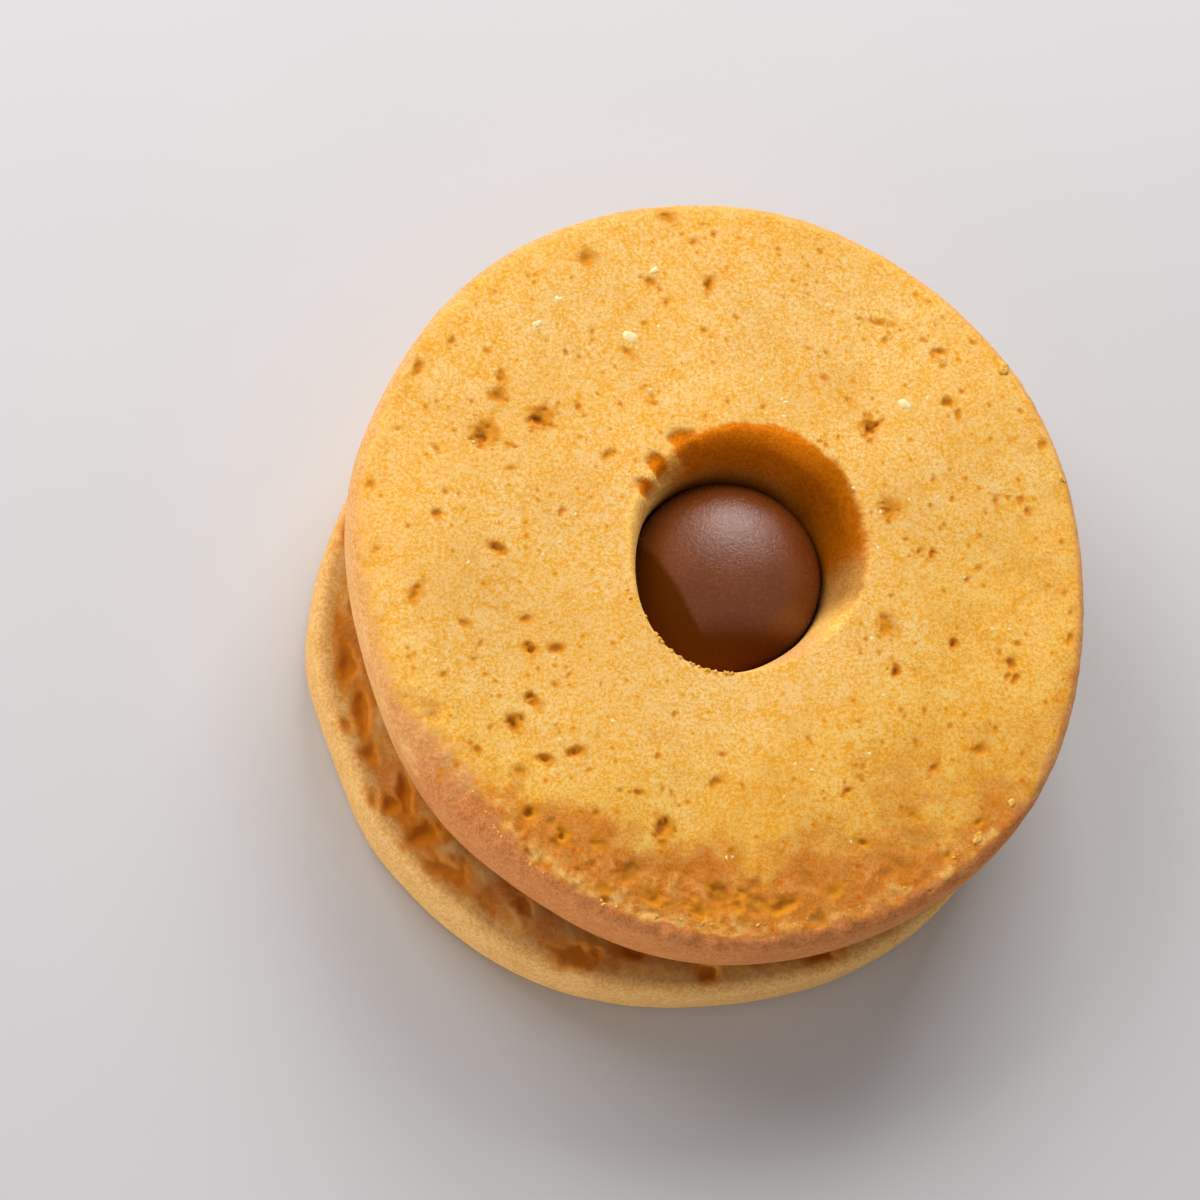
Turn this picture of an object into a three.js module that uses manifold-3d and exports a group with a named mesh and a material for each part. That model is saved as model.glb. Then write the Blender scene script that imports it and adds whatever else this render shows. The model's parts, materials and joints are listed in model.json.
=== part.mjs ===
// Sandwich cookie: a biscuit ring on a chocolate filling on a plain round biscuit.
// The filling rises as a dome in the ring's hole. Millimetres, +Z up, lying flat on z = 0,
// with the origin under the middle of the cookie's footprint.
import * as THREE from 'three';
import { mergeVertices } from 'three/addons/utils/BufferGeometryUtils.js';
import Module from 'manifold-3d';

const wasm = await Module();
wasm.setup();

// Driving dimensions
const RING_RADIUS = 30;
const RING_THICKNESS = 7.2;
const BASE_RADIUS = 29.4;
const BASE_THICKNESS = 6.8;
const FILLING_GAP = 3;
const FILLING_RADIUS = 24.5;
const CLEARANCE = 0.3;

// The base has slid under the ring, and the hole is off the ring's middle and leans
const RING_CENTRE = new THREE.Vector2(0.92, 0.76);
const BASE_CENTRE = new THREE.Vector2(-0.33, -2.14);
const LIP_OFFSET = new THREE.Vector2(2.2, 1.6);
const BORE_OFFSET = new THREE.Vector2(1.28, 0.69);

// Hole, lip and dome
const LIP_RADIUS = 9.7;
const BORE_RADIUS = 8;
const BORE_HEIGHT = 1.5;
const DOME_RADIUS = 7.65;
const DOME_DROP = 1.3;
const DOME_WAIST = 11.2;

// Edge roundings and the slight fall of the baked faces towards their edges
const EDGE_ROUND = 1.1;
const FOOT_ROUND = 1.2;
const BORE_ROUND = 0.5;
const FACE_FALL = 0.35;
const WALL_BULGE = 0.15;

// Levels worked out from the sizes
const BASE_TOP = BASE_THICKNESS;
const RING_FOOT = BASE_TOP + FILLING_GAP;
const RING_TOP = RING_FOOT + RING_THICKNESS;
const BORE_TOP = RING_FOOT + BORE_HEIGHT;
const FILLING_FOOT = BASE_TOP + CLEARANCE;
const FILLING_TOP = RING_FOOT - CLEARANCE;
const DOME_TOP = RING_TOP - DOME_DROP;

// Uneven outlines: lobes round the edge, height in mm, bearing of one crest in degrees
const RING_WAVES = [[2, 0.43, -71], [3, 0.34, -54], [4, 0.2, 20], [5, 0.19, -25], [6, 0.17, 17]];
const BASE_WAVES = [[2, 0.25, 30], [3, 0.2, 75], [6, 0.2, 7]];
const FILLING_WAVES = [[3, 0.7, 15], [5, 0.5, 40], [8, 0.25, 10]];

// One side of either biscuit's outline is flattened, and one side of the hole's rim stands out further:
// amount in mm, bearing of the middle and spread to either side in degrees. There the hole's wall is
// straight, and leans by a slope.
const RING_FLAT = { amount: 2.15, bearing: 194.5, spread: 35 };
const BASE_FLAT = { amount: 0.7, bearing: 198, spread: 18 };
const RIM_REACH = { amount: 1.1, bearing: 240, spread: 78 };
const RIM_SLOPE = 0.28;

// One side of the ring has a soft shoulder, where the top falls away over a width in mm
const SHOULDER = { amount: 1.1, bearing: 205, spread: 45 };
const SHOULDER_WIDTH = 4;

// Gentle unevenness of the ring's top: height in mm, wave length in mm, bearing in degrees
const FACE_WAVES = [[0.14, 31, 20], [0.12, 23, 105], [0.09, 17, 160]];

// Facets round the biscuits and the filling, and the size under which a sliver is closed up
const ROUND_STEPS = 72;
const FILLING_STEPS = 60;
const SLIVER = 0.02;
const WELD = 1e-4;

// Pits and dents: distance and bearing from the biscuit's middle, width, depth, stretch, bearing of
// the long way across. First the larger pits of the ring's top, then its crumpled lower edge, then
// the dents of the baking band that show on the base.
const FACE_PITS = [
  [21.2, 151, 1.9, 1.1, 1.0, 0], [18.3, 140, 1.7, 1.1, 1.1, 20], [16.9, 44, 1.3, 1.1, 1.0, 0],
  [14.3, 20, 1.6, 0.6, 1.1, 60], [22.0, 142, 1.4, 0.5, 1.2, 60], [22.7, 139, 0.9, 0.6, 1.1, 60],
  [27.1, 112, 1.4, 0.5, 1.0, 0], [17.7, 177, 0.8, 0.8, 1.9, 160], [24.3, 187, 1.1, 0.5, 1.6, 65],
  [23.2, 91, 0.8, 0.7, 1.8, 80], [23.3, 37, 0.7, 0.6, 1.6, 0], [19.1, 342, 0.7, 0.9, 1.3, 80],
  [15.8, 328, 0.7, 0.8, 1.6, 80], [16.8, 205, 0.7, 0.9, 1.8, 135], [14.9, 208, 0.9, 0.6, 1.5, 170],
  [18.8, 217, 1.0, 0.7, 1.5, 145], [21.0, 218, 1.1, 1.0, 1.2, 100], [19.3, 232, 0.9, 0.8, 1.7, 10],
  [21.3, 228, 0.8, 0.9, 1.6, 160], [25.4, 232, 1.1, 0.9, 1.2, 150], [25.4, 239, 1.1, 0.9, 1.2, 120],
  [21.7, 256, 1.3, 0.8, 1.5, 80], [24.6, 324, 1.0, 0.5, 1.5, 30], [28.1, 314, 0.7, 0.5, 1.6, 30],
];
const EDGE_DENTS = [
  [27.8, 249, 1.0, 0.4, 1.3, 160], [27.2, 257, 1.3, 0.5, 1.5, 150], [27.6, 265, 1.2, 0.5, 1.7, 155],
  [26.9, 271, 1.1, 0.4, 2.0, 80], [27.4, 278, 1.2, 0.4, 2.2, 10], [27.0, 287, 1.1, 0.4, 1.6, 20],
];
const BAND_DENTS = [
  [26.5, 175, 0.9, 0.5, 2.0, 80], [27.2, 186, 1.2, 0.7, 2.6, 85], [26.6, 194, 1.3, 0.8, 2.8, 100],
  [28.2, 196, 0.9, 0.5, 1.5, 110], [27.2, 202, 1.3, 0.7, 1.3, 120], [26.0, 210, 1.2, 0.8, 2.8, 100],
  [27.6, 211, 1.3, 0.8, 1.3, 0], [26.7, 218, 2.0, 0.8, 1.7, 20],
];

// Round the rest of the base's margin such dents lie in two staggered rows, between two bearings
const ROW_BEARINGS = [228, 526];
const ROW_COUNT = 29;
const ROW_RADII = [27.3, 25.8];
const ROW_SCATTER = 0.3;
const ROW_WIDTHS = [1.1, 1.9];
const ROW_DEPTH = 0.75;
const ROW_STRETCHES = [1.1, 2.2];
const ROW_TURN = 40;
const ROW_SEED = 4711;

// Bites out of the hole's ragged lip: bearing from the lip's middle, width
const LIP_NICKS = [[150, 1.7], [138, 2.0], [122, 2.3]];
const NICK_DEPTH = 0.9;
const NICK_STRETCH = 1.6;
const NICK_INSET = 0.4;

const radians = THREE.MathUtils.degToRad;
const lerp = THREE.MathUtils.lerp;

// Repeatable draws from a range
function seededDraw(seed) {
  const multiplier = 16807;
  const modulus = 2147483647;
  let state = seed;
  return ([low, high]) => {
    state = (state * multiplier) % modulus;
    return lerp(low, high, state / modulus);
  };
}

// How far an uneven outline stands out at a bearing
function swell(waves, bearing) {
  const lobe = ([count, height, crest]) => height * Math.cos(count * (bearing - radians(crest)));
  return waves.reduce((sum, wave) => sum + lobe(wave), 0);
}

// A share of 1 at the middle bearing of a bump or a flat, easing to 0 at its spread
function nearness(bearing, { bearing: middle, spread }) {
  const turn = 2 * Math.PI;
  const away = Math.abs(THREE.MathUtils.euclideanModulo(bearing - radians(middle) + Math.PI, turn) - Math.PI);
  return 0.5 * (1 + Math.cos(Math.PI * Math.min(away / radians(spread), 1)));
}

// Height of the ring's gently uneven top over its mean level
function faceHeight(x, y) {
  return FACE_WAVES.reduce((sum, [height, length, bearing]) => {
    const along = x * Math.cos(radians(bearing)) + y * Math.sin(radians(bearing));
    return sum + height * Math.sin((2 * Math.PI * along) / length);
  }, 0);
}

// Fall of a baked face towards its edge, as a share of the way from the middle
function faceFall(share) {
  return FACE_FALL * share ** 4;
}

// Points along a quarter-like arc, from one angle to another in degrees, without its first point
function arc(centre, spread, from, to, steps) {
  return Array.from({ length: steps }, (_, index) => {
    const angle = radians(lerp(from, to, (index + 1) / steps));
    return new THREE.Vector2(centre.x + spread.x * Math.cos(angle), centre.y + spread.y * Math.sin(angle));
  });
}

// Points across a baked face from one radius to another, without the first
function facePoints(from, to, level, steps) {
  return Array.from({ length: steps }, (_, index) => {
    const radius = lerp(from, to, (index + 1) / steps);
    return new THREE.Vector2(radius, level - faceFall(radius / RING_RADIUS));
  });
}

// Turned section, with its axis along Z and its seam closed
function turned(profile, steps) {
  const geometry = new THREE.LatheGeometry(profile, steps);
  geometry.rotateX(Math.PI / 2);
  return welded(geometry);
}

// Only positions, with shared corners merged and collapsed triangles dropped
function welded(geometry) {
  geometry.deleteAttribute('normal');
  geometry.deleteAttribute('uv');
  const merged = mergeVertices(geometry, WELD);
  const corners = merged.index.array;
  const kept = [];
  for (let i = 0; i < corners.length; i += 3) {
    const [a, b, c] = corners.slice(i, i + 3);
    if (a !== b && b !== c && c !== a) kept.push(a, b, c);
  }
  merged.setIndex(kept);
  return merged;
}

// Move every vertex by a function of its radius, bearing and height
function reshaped(geometry, move) {
  const position = geometry.attributes.position;
  for (let i = 0; i < position.count; i += 1) {
    const [x, y, z] = [position.getX(i), position.getY(i), position.getZ(i)];
    position.setXYZ(i, ...move(Math.hypot(x, y), Math.atan2(y, x), z));
  }
  return geometry;
}

function toSolid(geometry) {
  const vertProperties = Float32Array.from(geometry.attributes.position.array);
  const triVerts = Uint32Array.from(geometry.index.array);
  return new wasm.Manifold(new wasm.Mesh({ numProp: 3, vertProperties, triVerts }));
}

function toGeometry(solid) {
  const { vertProperties, triVerts } = solid.getMesh();
  const geometry = new THREE.BufferGeometry();
  geometry.setAttribute('position', new THREE.BufferAttribute(vertProperties, 3));
  geometry.setIndex(new THREE.BufferAttribute(triVerts, 1));
  geometry.computeVertexNormals();
  return geometry;
}

// A rounded cutter, wider across than deep, stretched along a bearing
function pitCutter({ x, y, z, width, depth, stretch, bearing }) {
  const cutter = new THREE.IcosahedronGeometry(1, 1);
  cutter.scale((width * stretch) / 2, width / 2, depth);
  cutter.rotateZ(bearing);
  cutter.translate(x, y, z);
  return toSolid(welded(cutter));
}

function cutPits(geometry, pits) {
  const solid = pits.reduce((left, pit) => left.subtract(pitCutter(pit)), toSolid(geometry));
  return toGeometry(solid.simplify(SLIVER));
}

// Where the hole's middle lies at a height between the ring's foot and its top
function holeMiddle(z) {
  const share = THREE.MathUtils.clamp((z - BORE_TOP) / (RING_TOP - BORE_TOP), 0, 1);
  return BORE_OFFSET.clone().lerp(LIP_OFFSET, share);
}

// Section of the ring, from the foot of the bore up the hole, over the top and down the wall
function ringProfile() {
  const rim = RING_RADIUS - EDGE_ROUND;
  const edgeTop = RING_TOP - faceFall(rim / RING_RADIUS);
  const points = [new THREE.Vector2(BORE_RADIUS, RING_FOOT + BORE_ROUND)];
  points.push(new THREE.Vector2(BORE_RADIUS, BORE_TOP));
  const lipSpread = new THREE.Vector2(LIP_RADIUS - BORE_RADIUS, RING_TOP - BORE_TOP);
  points.push(...arc(new THREE.Vector2(LIP_RADIUS, BORE_TOP), lipSpread, 180, 90, 5));
  points.push(...facePoints(LIP_RADIUS, RING_RADIUS - SHOULDER_WIDTH, RING_TOP, 5));
  points.push(...facePoints(RING_RADIUS - SHOULDER_WIDTH, rim, RING_TOP, 2));
  const edgeSpread = new THREE.Vector2(EDGE_ROUND, EDGE_ROUND);
  points.push(...arc(new THREE.Vector2(rim, edgeTop - EDGE_ROUND), edgeSpread, 90, 0, 3));
  points.push(new THREE.Vector2(RING_RADIUS + WALL_BULGE, lerp(RING_FOOT, RING_TOP, 0.5)));
  const foot = RING_RADIUS - FOOT_ROUND;
  const footSpread = new THREE.Vector2(FOOT_ROUND, FOOT_ROUND);
  points.push(new THREE.Vector2(RING_RADIUS, RING_FOOT + FOOT_ROUND));
  points.push(...arc(new THREE.Vector2(foot, RING_FOOT + FOOT_ROUND), footSpread, 0, -90, 3));
  points.push(new THREE.Vector2(lerp(foot, BORE_RADIUS, 0.5), RING_FOOT));
  points.push(new THREE.Vector2(BORE_RADIUS + BORE_ROUND, RING_FOOT));
  points.push(points[0].clone());
  return points.reverse();
}

// How far a point of the ring stands from the hole's middle: the hole has one steep side with a sharp
// rim, and the outline is uneven with one flattened side
function ringReach(radius, bearing, z, share) {
  const near = nearness(bearing, RIM_REACH);
  const rim = RIM_REACH.amount * near * near;
  if (radius < LIP_RADIUS) {
    const steep = RIM_SLOPE * (RING_TOP - Math.max(z, BORE_TOP));
    return LIP_RADIUS + rim - lerp(LIP_RADIUS - radius, steep, near);
  }
  const outline = swell(RING_WAVES, bearing) - RING_FLAT.amount * nearness(bearing, RING_FLAT);
  return radius + lerp(rim, outline, share);
}

// Uneven outline outside, leaning hole inside, gently wavy top with a soft shoulder
function placeOnRing(radius, bearing, z) {
  const share = THREE.MathUtils.clamp((radius - LIP_RADIUS) / (RING_RADIUS - LIP_RADIUS), 0, 1);
  const middle = holeMiddle(z).multiplyScalar(1 - share);
  const reach = ringReach(radius, bearing, z, share);
  const x = middle.x + reach * Math.cos(bearing);
  const y = middle.y + reach * Math.sin(bearing);
  const high = THREE.MathUtils.smoothstep(z, lerp(RING_FOOT, RING_TOP, 0.5), RING_TOP);
  const outer = THREE.MathUtils.smoothstep(radius, RING_RADIUS - SHOULDER_WIDTH, RING_RADIUS);
  const fall = SHOULDER.amount * nearness(bearing, SHOULDER) * outer;
  return [x, y, z + high * (faceHeight(x, y) - fall)];
}

// A cutter for a pit, at a distance and bearing from the biscuit's middle, sunk from its own level
function pitAt([distance, bearing, width, depth, stretch, turn], level) {
  const x = distance * Math.cos(radians(bearing));
  const y = distance * Math.sin(radians(bearing));
  const z = level(x, y) - faceFall(distance / RING_RADIUS);
  return { x, y, z, width, depth, stretch, bearing: radians(turn) };
}

function lipNick([degrees, width]) {
  const bearing = radians(degrees);
  const reach = LIP_RADIUS - NICK_INSET;
  const x = LIP_OFFSET.x + reach * Math.cos(bearing);
  const y = LIP_OFFSET.y + reach * Math.sin(bearing);
  return { x, y, z: RING_TOP, width, depth: NICK_DEPTH, stretch: NICK_STRETCH, bearing };
}

function ringGeometry() {
  const ring = reshaped(turned(ringProfile(), ROUND_STEPS), placeOnRing);
  const level = (x, y) => RING_TOP + faceHeight(x, y);
  const pits = [...FACE_PITS, ...EDGE_DENTS].map((pit) => pitAt(pit, level));
  return cutPits(ring, [...pits, ...LIP_NICKS.map(lipNick)]);
}

// Section of the base, from the middle of its top to the middle of its flat underside
function baseProfile() {
  const rim = BASE_RADIUS - EDGE_ROUND;
  const edgeTop = BASE_TOP - faceFall(rim / RING_RADIUS);
  const points = [new THREE.Vector2(0, BASE_TOP), ...facePoints(0, rim, BASE_TOP, 5)];
  const edgeSpread = new THREE.Vector2(EDGE_ROUND, EDGE_ROUND);
  points.push(...arc(new THREE.Vector2(rim, edgeTop - EDGE_ROUND), edgeSpread, 90, 0, 3));
  points.push(new THREE.Vector2(BASE_RADIUS + WALL_BULGE, BASE_TOP / 2));
  const footSpread = new THREE.Vector2(FOOT_ROUND, FOOT_ROUND);
  points.push(new THREE.Vector2(BASE_RADIUS, FOOT_ROUND));
  points.push(...arc(new THREE.Vector2(BASE_RADIUS - FOOT_ROUND, FOOT_ROUND), footSpread, 0, -90, 3));
  points.push(new THREE.Vector2(0, 0));
  return points.reverse();
}

function placeOnBase(radius, bearing, z) {
  const outline = swell(BASE_WAVES, bearing) - BASE_FLAT.amount * nearness(bearing, BASE_FLAT);
  const reach = radius + (radius / BASE_RADIUS) * outline;
  return [reach * Math.cos(bearing), reach * Math.sin(bearing), z];
}

// The staggered rows of dents round the part of the margin that the listed ones leave
function rowDents() {
  const draw = seededDraw(ROW_SEED);
  return Array.from({ length: ROW_COUNT }, (_, index) => {
    const place = index + draw([-ROW_SCATTER, ROW_SCATTER]);
    const bearing = lerp(...ROW_BEARINGS, place / (ROW_COUNT - 1));
    const distance = ROW_RADII[index % ROW_RADII.length] + draw([-ROW_SCATTER, ROW_SCATTER]);
    const turn = bearing + 90 + draw([-ROW_TURN, ROW_TURN]);
    return [distance, bearing, draw(ROW_WIDTHS), ROW_DEPTH, draw(ROW_STRETCHES), turn];
  });
}

function baseGeometry() {
  const base = reshaped(turned(baseProfile(), ROUND_STEPS), placeOnBase);
  return cutPits(base, [...BAND_DENTS, ...rowDents()].map((dent) => pitAt(dent, () => BASE_TOP)));
}

// Section of the filling, from the top of the dome over the spread layer to its underside
function fillingProfile() {
  const half = (FILLING_TOP - FILLING_FOOT) / 2;
  const points = [new THREE.Vector2(0, DOME_TOP)];
  const domeSpread = new THREE.Vector2(DOME_RADIUS, DOME_TOP - DOME_WAIST);
  points.push(...arc(new THREE.Vector2(0, DOME_WAIST), domeSpread, 90, 0, 7));
  points.push(new THREE.Vector2(DOME_RADIUS, FILLING_TOP));
  const spread = FILLING_RADIUS - half;
  points.push(new THREE.Vector2(lerp(DOME_RADIUS, spread, 0.5), FILLING_TOP));
  points.push(new THREE.Vector2(spread, FILLING_TOP));
  const bulge = new THREE.Vector2(half, half);
  points.push(...arc(new THREE.Vector2(spread, FILLING_FOOT + half), bulge, 90, -90, 6));
  points.push(new THREE.Vector2(0, FILLING_FOOT));
  return points.reverse();
}

// The dome's foot follows the bore's steep side, and the layer round it spreads midway between the
// biscuits
function placeInFilling(radius, bearing, z) {
  const share = THREE.MathUtils.clamp((radius - DOME_RADIUS) / (FILLING_RADIUS - DOME_RADIUS), 0, 1);
  const follow = Math.min(radius / DOME_RADIUS, 1) ** 4 * (1 - share);
  const bore = ringReach(BORE_RADIUS, bearing, BORE_TOP, 0) - BORE_RADIUS;
  const dome = RING_CENTRE.clone().add(BORE_OFFSET);
  const middle = dome.lerp(RING_CENTRE.clone().lerp(BASE_CENTRE, 0.5), share);
  const reach = radius + follow * bore + share * swell(FILLING_WAVES, bearing);
  return [middle.x + reach * Math.cos(bearing), middle.y + reach * Math.sin(bearing), z];
}

function fillingGeometry() {
  return toGeometry(toSolid(reshaped(turned(fillingProfile(), FILLING_STEPS), placeInFilling)));
}

const goldenCrust = new THREE.MeshStandardMaterial({ color: 0xeebb6c, roughness: 0.85, metalness: 0 });
const bandCrust = new THREE.MeshStandardMaterial({ color: 0xe2a861, roughness: 0.85, metalness: 0 });
const milkChocolate = new THREE.MeshStandardMaterial({ color: 0x7a4a34, roughness: 0.45, metalness: 0 });

function node(name, geometry, material, centre) {
  const mesh = new THREE.Mesh(geometry, material);
  mesh.name = name;
  mesh.position.set(centre.x, centre.y, 0);
  return mesh;
}

const cookie = new THREE.Group();
cookie.add(node('base_biscuit', baseGeometry(), bandCrust, BASE_CENTRE));
cookie.add(node('chocolate_filling', fillingGeometry(), milkChocolate, new THREE.Vector2()));
cookie.add(node('ring_biscuit', ringGeometry(), goldenCrust, RING_CENTRE));

export default cookie;
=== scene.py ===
"""Sandwich cookie: the looks of its two biscuits, its chocolate, its crumbs and its sugar.

Shapes are worked out in millimetres about a biscuit's own middle, with the same named sizes as the
solids that they replace, and become metres once, when a piece's mesh is made. Crumbs and sugar are set
on the finished meshes, in metres.
"""

import json
import math
import random
from collections import namedtuple

import bmesh
import bpy
import numpy as np
from bpy.props import FloatProperty, FloatVectorProperty, IntProperty, PointerProperty
from mathutils import Matrix, Quaternion, Vector, noise
from mathutils.bvhtree import BVHTree

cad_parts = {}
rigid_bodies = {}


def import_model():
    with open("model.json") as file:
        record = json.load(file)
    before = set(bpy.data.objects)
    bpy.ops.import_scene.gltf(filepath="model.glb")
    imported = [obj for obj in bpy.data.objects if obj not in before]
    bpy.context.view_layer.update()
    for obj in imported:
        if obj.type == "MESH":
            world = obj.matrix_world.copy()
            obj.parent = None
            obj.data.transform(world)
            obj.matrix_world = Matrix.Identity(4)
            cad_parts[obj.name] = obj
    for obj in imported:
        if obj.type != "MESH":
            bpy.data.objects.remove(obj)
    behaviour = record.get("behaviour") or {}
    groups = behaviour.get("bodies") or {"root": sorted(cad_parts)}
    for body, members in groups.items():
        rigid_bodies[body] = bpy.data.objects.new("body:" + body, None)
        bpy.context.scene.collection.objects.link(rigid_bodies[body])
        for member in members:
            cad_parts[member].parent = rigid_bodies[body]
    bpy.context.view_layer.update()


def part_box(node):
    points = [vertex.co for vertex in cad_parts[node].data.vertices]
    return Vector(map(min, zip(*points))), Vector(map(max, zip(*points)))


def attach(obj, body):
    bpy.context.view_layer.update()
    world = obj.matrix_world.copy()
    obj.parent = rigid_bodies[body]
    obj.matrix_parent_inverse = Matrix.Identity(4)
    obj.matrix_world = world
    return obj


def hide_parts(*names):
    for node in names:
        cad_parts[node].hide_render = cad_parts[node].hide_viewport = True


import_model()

bl_info = {
    "name": "Sandwich cookie",
    "version": (1, 0, 0),
    "blender": (4, 5, 0),
    "location": "3D View > Sidebar > Cookie",
    "description": "Bakes a sandwich cookie with a biscuit ring, chocolate and a plain biscuit",
    "category": "Object",
}

MM = 0.001
BODY = "root"

# A turned body is spun through one wedge, which is then repeated and welded
WEDGES = 8
WELD = 1e-3

# Levels in millimetres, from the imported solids
BASE_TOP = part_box("base_biscuit")[1].z / MM
RING_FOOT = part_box("ring_biscuit")[0].z / MM
RING_THICKNESS = 7.2
RING_TOP = RING_FOOT + RING_THICKNESS
BORE_TOP = RING_FOOT + 1.5
DOME_WAIST = 11.2

# The base has slid under the ring, and the hole is off the ring's middle and leans
RING_CENTRE = np.array([0.92, 0.76])
BASE_CENTRE = np.array([-0.33, -2.14])
LIP_OFFSET = np.array([2.2, 1.6])
BORE_OFFSET = np.array([1.28, 0.69])

# Roundings of the edges, the fall of the baked faces and the bulge of the walls
FOOT_ROUND = 1.2
BORE_ROUND = 0.5
FACE_FALL = 0.35
WALL_BULGE = 0.15

# Uneven outlines: lobes round the edge, height, bearing of one crest in degrees
RING_WAVES = ((2, 0.43, -71), (3, 0.34, -54), (4, 0.2, 20), (5, 0.19, -25), (6, 0.17, 17))
BASE_WAVES = ((2, 0.25, 30), (3, 0.2, 75), (6, 0.2, 7))
FILLING_WAVES = ((3, 0.7, 15), (5, 0.5, 40), (8, 0.25, 10))

# One side of either biscuit's outline is flattened, and one side of the hole's rim stands out further:
# amount, bearing of the middle and spread to either side in degrees. There the hole's wall is
# straight, and leans by a slope.
RING_FLAT = (2.15, 194.5, 35)
BASE_FLAT = (0.7, 198, 18)
RIM_REACH = (1.1, 240, 78)
RIM_SLOPE = 0.28

# One side of the ring has a soft shoulder, where the top falls away over a width
SHOULDER = (1.1, 205, 45)
SHOULDER_WIDTH = 4

# Sides of the ring's hole and then of its edge: bearing of the middle and spread in degrees. The hole's
# sides carry painted shade: the darkest painted shadow lies on its far side and reaches out over the lip on
# its high side, brown and tan painted shade darken the sides that face the light, on one lit side the
# wall's skin colour stands in as painted shade, and painted shade reaches out over the soft lip.
HOLE_SHADOW_SIDE = (60, 110)
LIP_SHADOW_SIDE = (80, 75)
BROWN_SHADE_SIDE = (10, 75)
TAN_SHADE_SIDE = (-32, 44)
SKIN_SHADE_SIDE = (-68, 45)
SOFT_LIP_SHADE = (165, 50)
CRUMPLED = (252, 75)
BROKEN = (265, 90)
FLAKED = (308, 30)

# Where the skin of the ring's wall begins, as a way round the edge from the flat top: by bearing it begins
# higher and softer. Amount, bearing of the middle and spread.
SKIN_START = 0.5
SKIN_SOFT = 0.55
SKIN_RISES = ((0.4, 265, 60), (2.0, 219, 20))
SKIN_SOFTER = ((-0.35, 268, 45), (0.9, 193, 40))

# One side of the dome, and its part towards negative y, carry painted shade, darker and duller: the side's
# bearing, and how far off that way and towards negative y it begins and is full. The layer between the
# biscuits gets half of that painted shade.
SHADE_BEARING = 211
SHADE_REACH = (4.4, 5.15)
SHADE_FRONT = (3.6, 6.6)
LAYER_SHADE = 0.5

# A pit has a ragged core, which takes a share of its depth and lies towards one bearing, by a share of the
# pit's width. A dent has none. Their colour, partly browning and partly painted shade that is darkest in
# the core, reaches past their rims, by a factor, and the finer meshes sink by a share of the depths in the
# solids.
PIT_LEAN = 245
CORE_SHIFT = 0.22
PIT_CORE = 0.55
PIT_SPREAD = 1.7
PIT_RELIEF = 0.48
DENT_CORE = 0.0
DENT_SPREAD = 1.9
DENT_RELIEF = 0.6
NICK_RELIEF = 0.45

# Gentle unevenness of the ring's top: height, wave length, bearing in degrees
FACE_WAVES = ((0.14, 31, 20), (0.12, 23, 105), (0.09, 17, 160))

# Layers of lumps that make a surface or an outline uneven: height, length of a lump, seed
TOP_CRUMB = ((0.012, 0.75, 2), (0.012, 1.5, 3), (0.06, 5.0, 4))
WALL_SKIN = ((0.012, 1.5, 3), (0.05, 5.0, 4))
MARGIN_GRAINS = ((0.1, 0.95, 19), (0.08, 0.45, 20))
MARGIN_HOLLOWS = ((2.0, 2.0, 5), (0.7, 0.8, 10))
EDGE_FLAKES = ((0.2, 1.1, 6), (0.1, 0.75, 2))
SKIN_RAGGED = ((0.35, 1.2, 8), (0.25, 0.5, 9))
PIT_RAGGED = ((0.5, 0.7, 1), (0.35, 0.3, 17))
NICK_RAGGED = ((0.6, 1.3, 26), (0.125, 0.7, 1), (0.0875, 0.3, 17))
TOAST_PATCHES = ((0.5, 4.0, 7), (0.35, 1.3, 27))
BASE_SKIN = ((0.012, 0.75, 12), (0.02, 1.5, 13), (0.06, 5.0, 14))
BASE_RIDGES = ((0.16, 2.3, 15), (0.04, 0.75, 12))
DENT_RAGGED = ((0.4, 1.7, 11), (0.45, 0.7, 18), (0.25, 0.3, 25))

# Baked colour of the ring's top: amount, bearing of the middle, spread, and the radii where it begins and
# is full. All round the edge there is a little more. On the wall the same share paints shade on its lower
# side.
TOASTED_AND_SHADED_SIDES = ((0.45, 305, 130, 11.0, 19.0), (1.05, 256, 85, 19.5, 28.5))
TOASTED_EDGE = (0.2, 26.5, 29.3)

# The ring's crumpled margin begins and is full at two radii, and has hollows of a depth. Its broken edge is
# a belt that lies a drop under the top and fades over a height.
MARGIN_RADII = (22.5, 27.0)
HOLLOW_DEPTH = 0.42
EDGE_DROP = 0.8
EDGE_BELT = 0.45

# The ring's mesh is finer round its pits and outside a radius of that margin, down to a depth
FINE_ROUND = 0.15
FINE_RADIUS = 24.5
FINE_DEPTH = 1.6

# The base's top is crumb with a share of skin, and its dented margin begins and is full at two radii
BASE_TOP_SKIN = 0.45
BASE_MARGIN = (22.0, 25.0)

# How far a surface faces up where its pits begin to show and where they show in full
FACING_UP = (0.2, 0.7)

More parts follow.
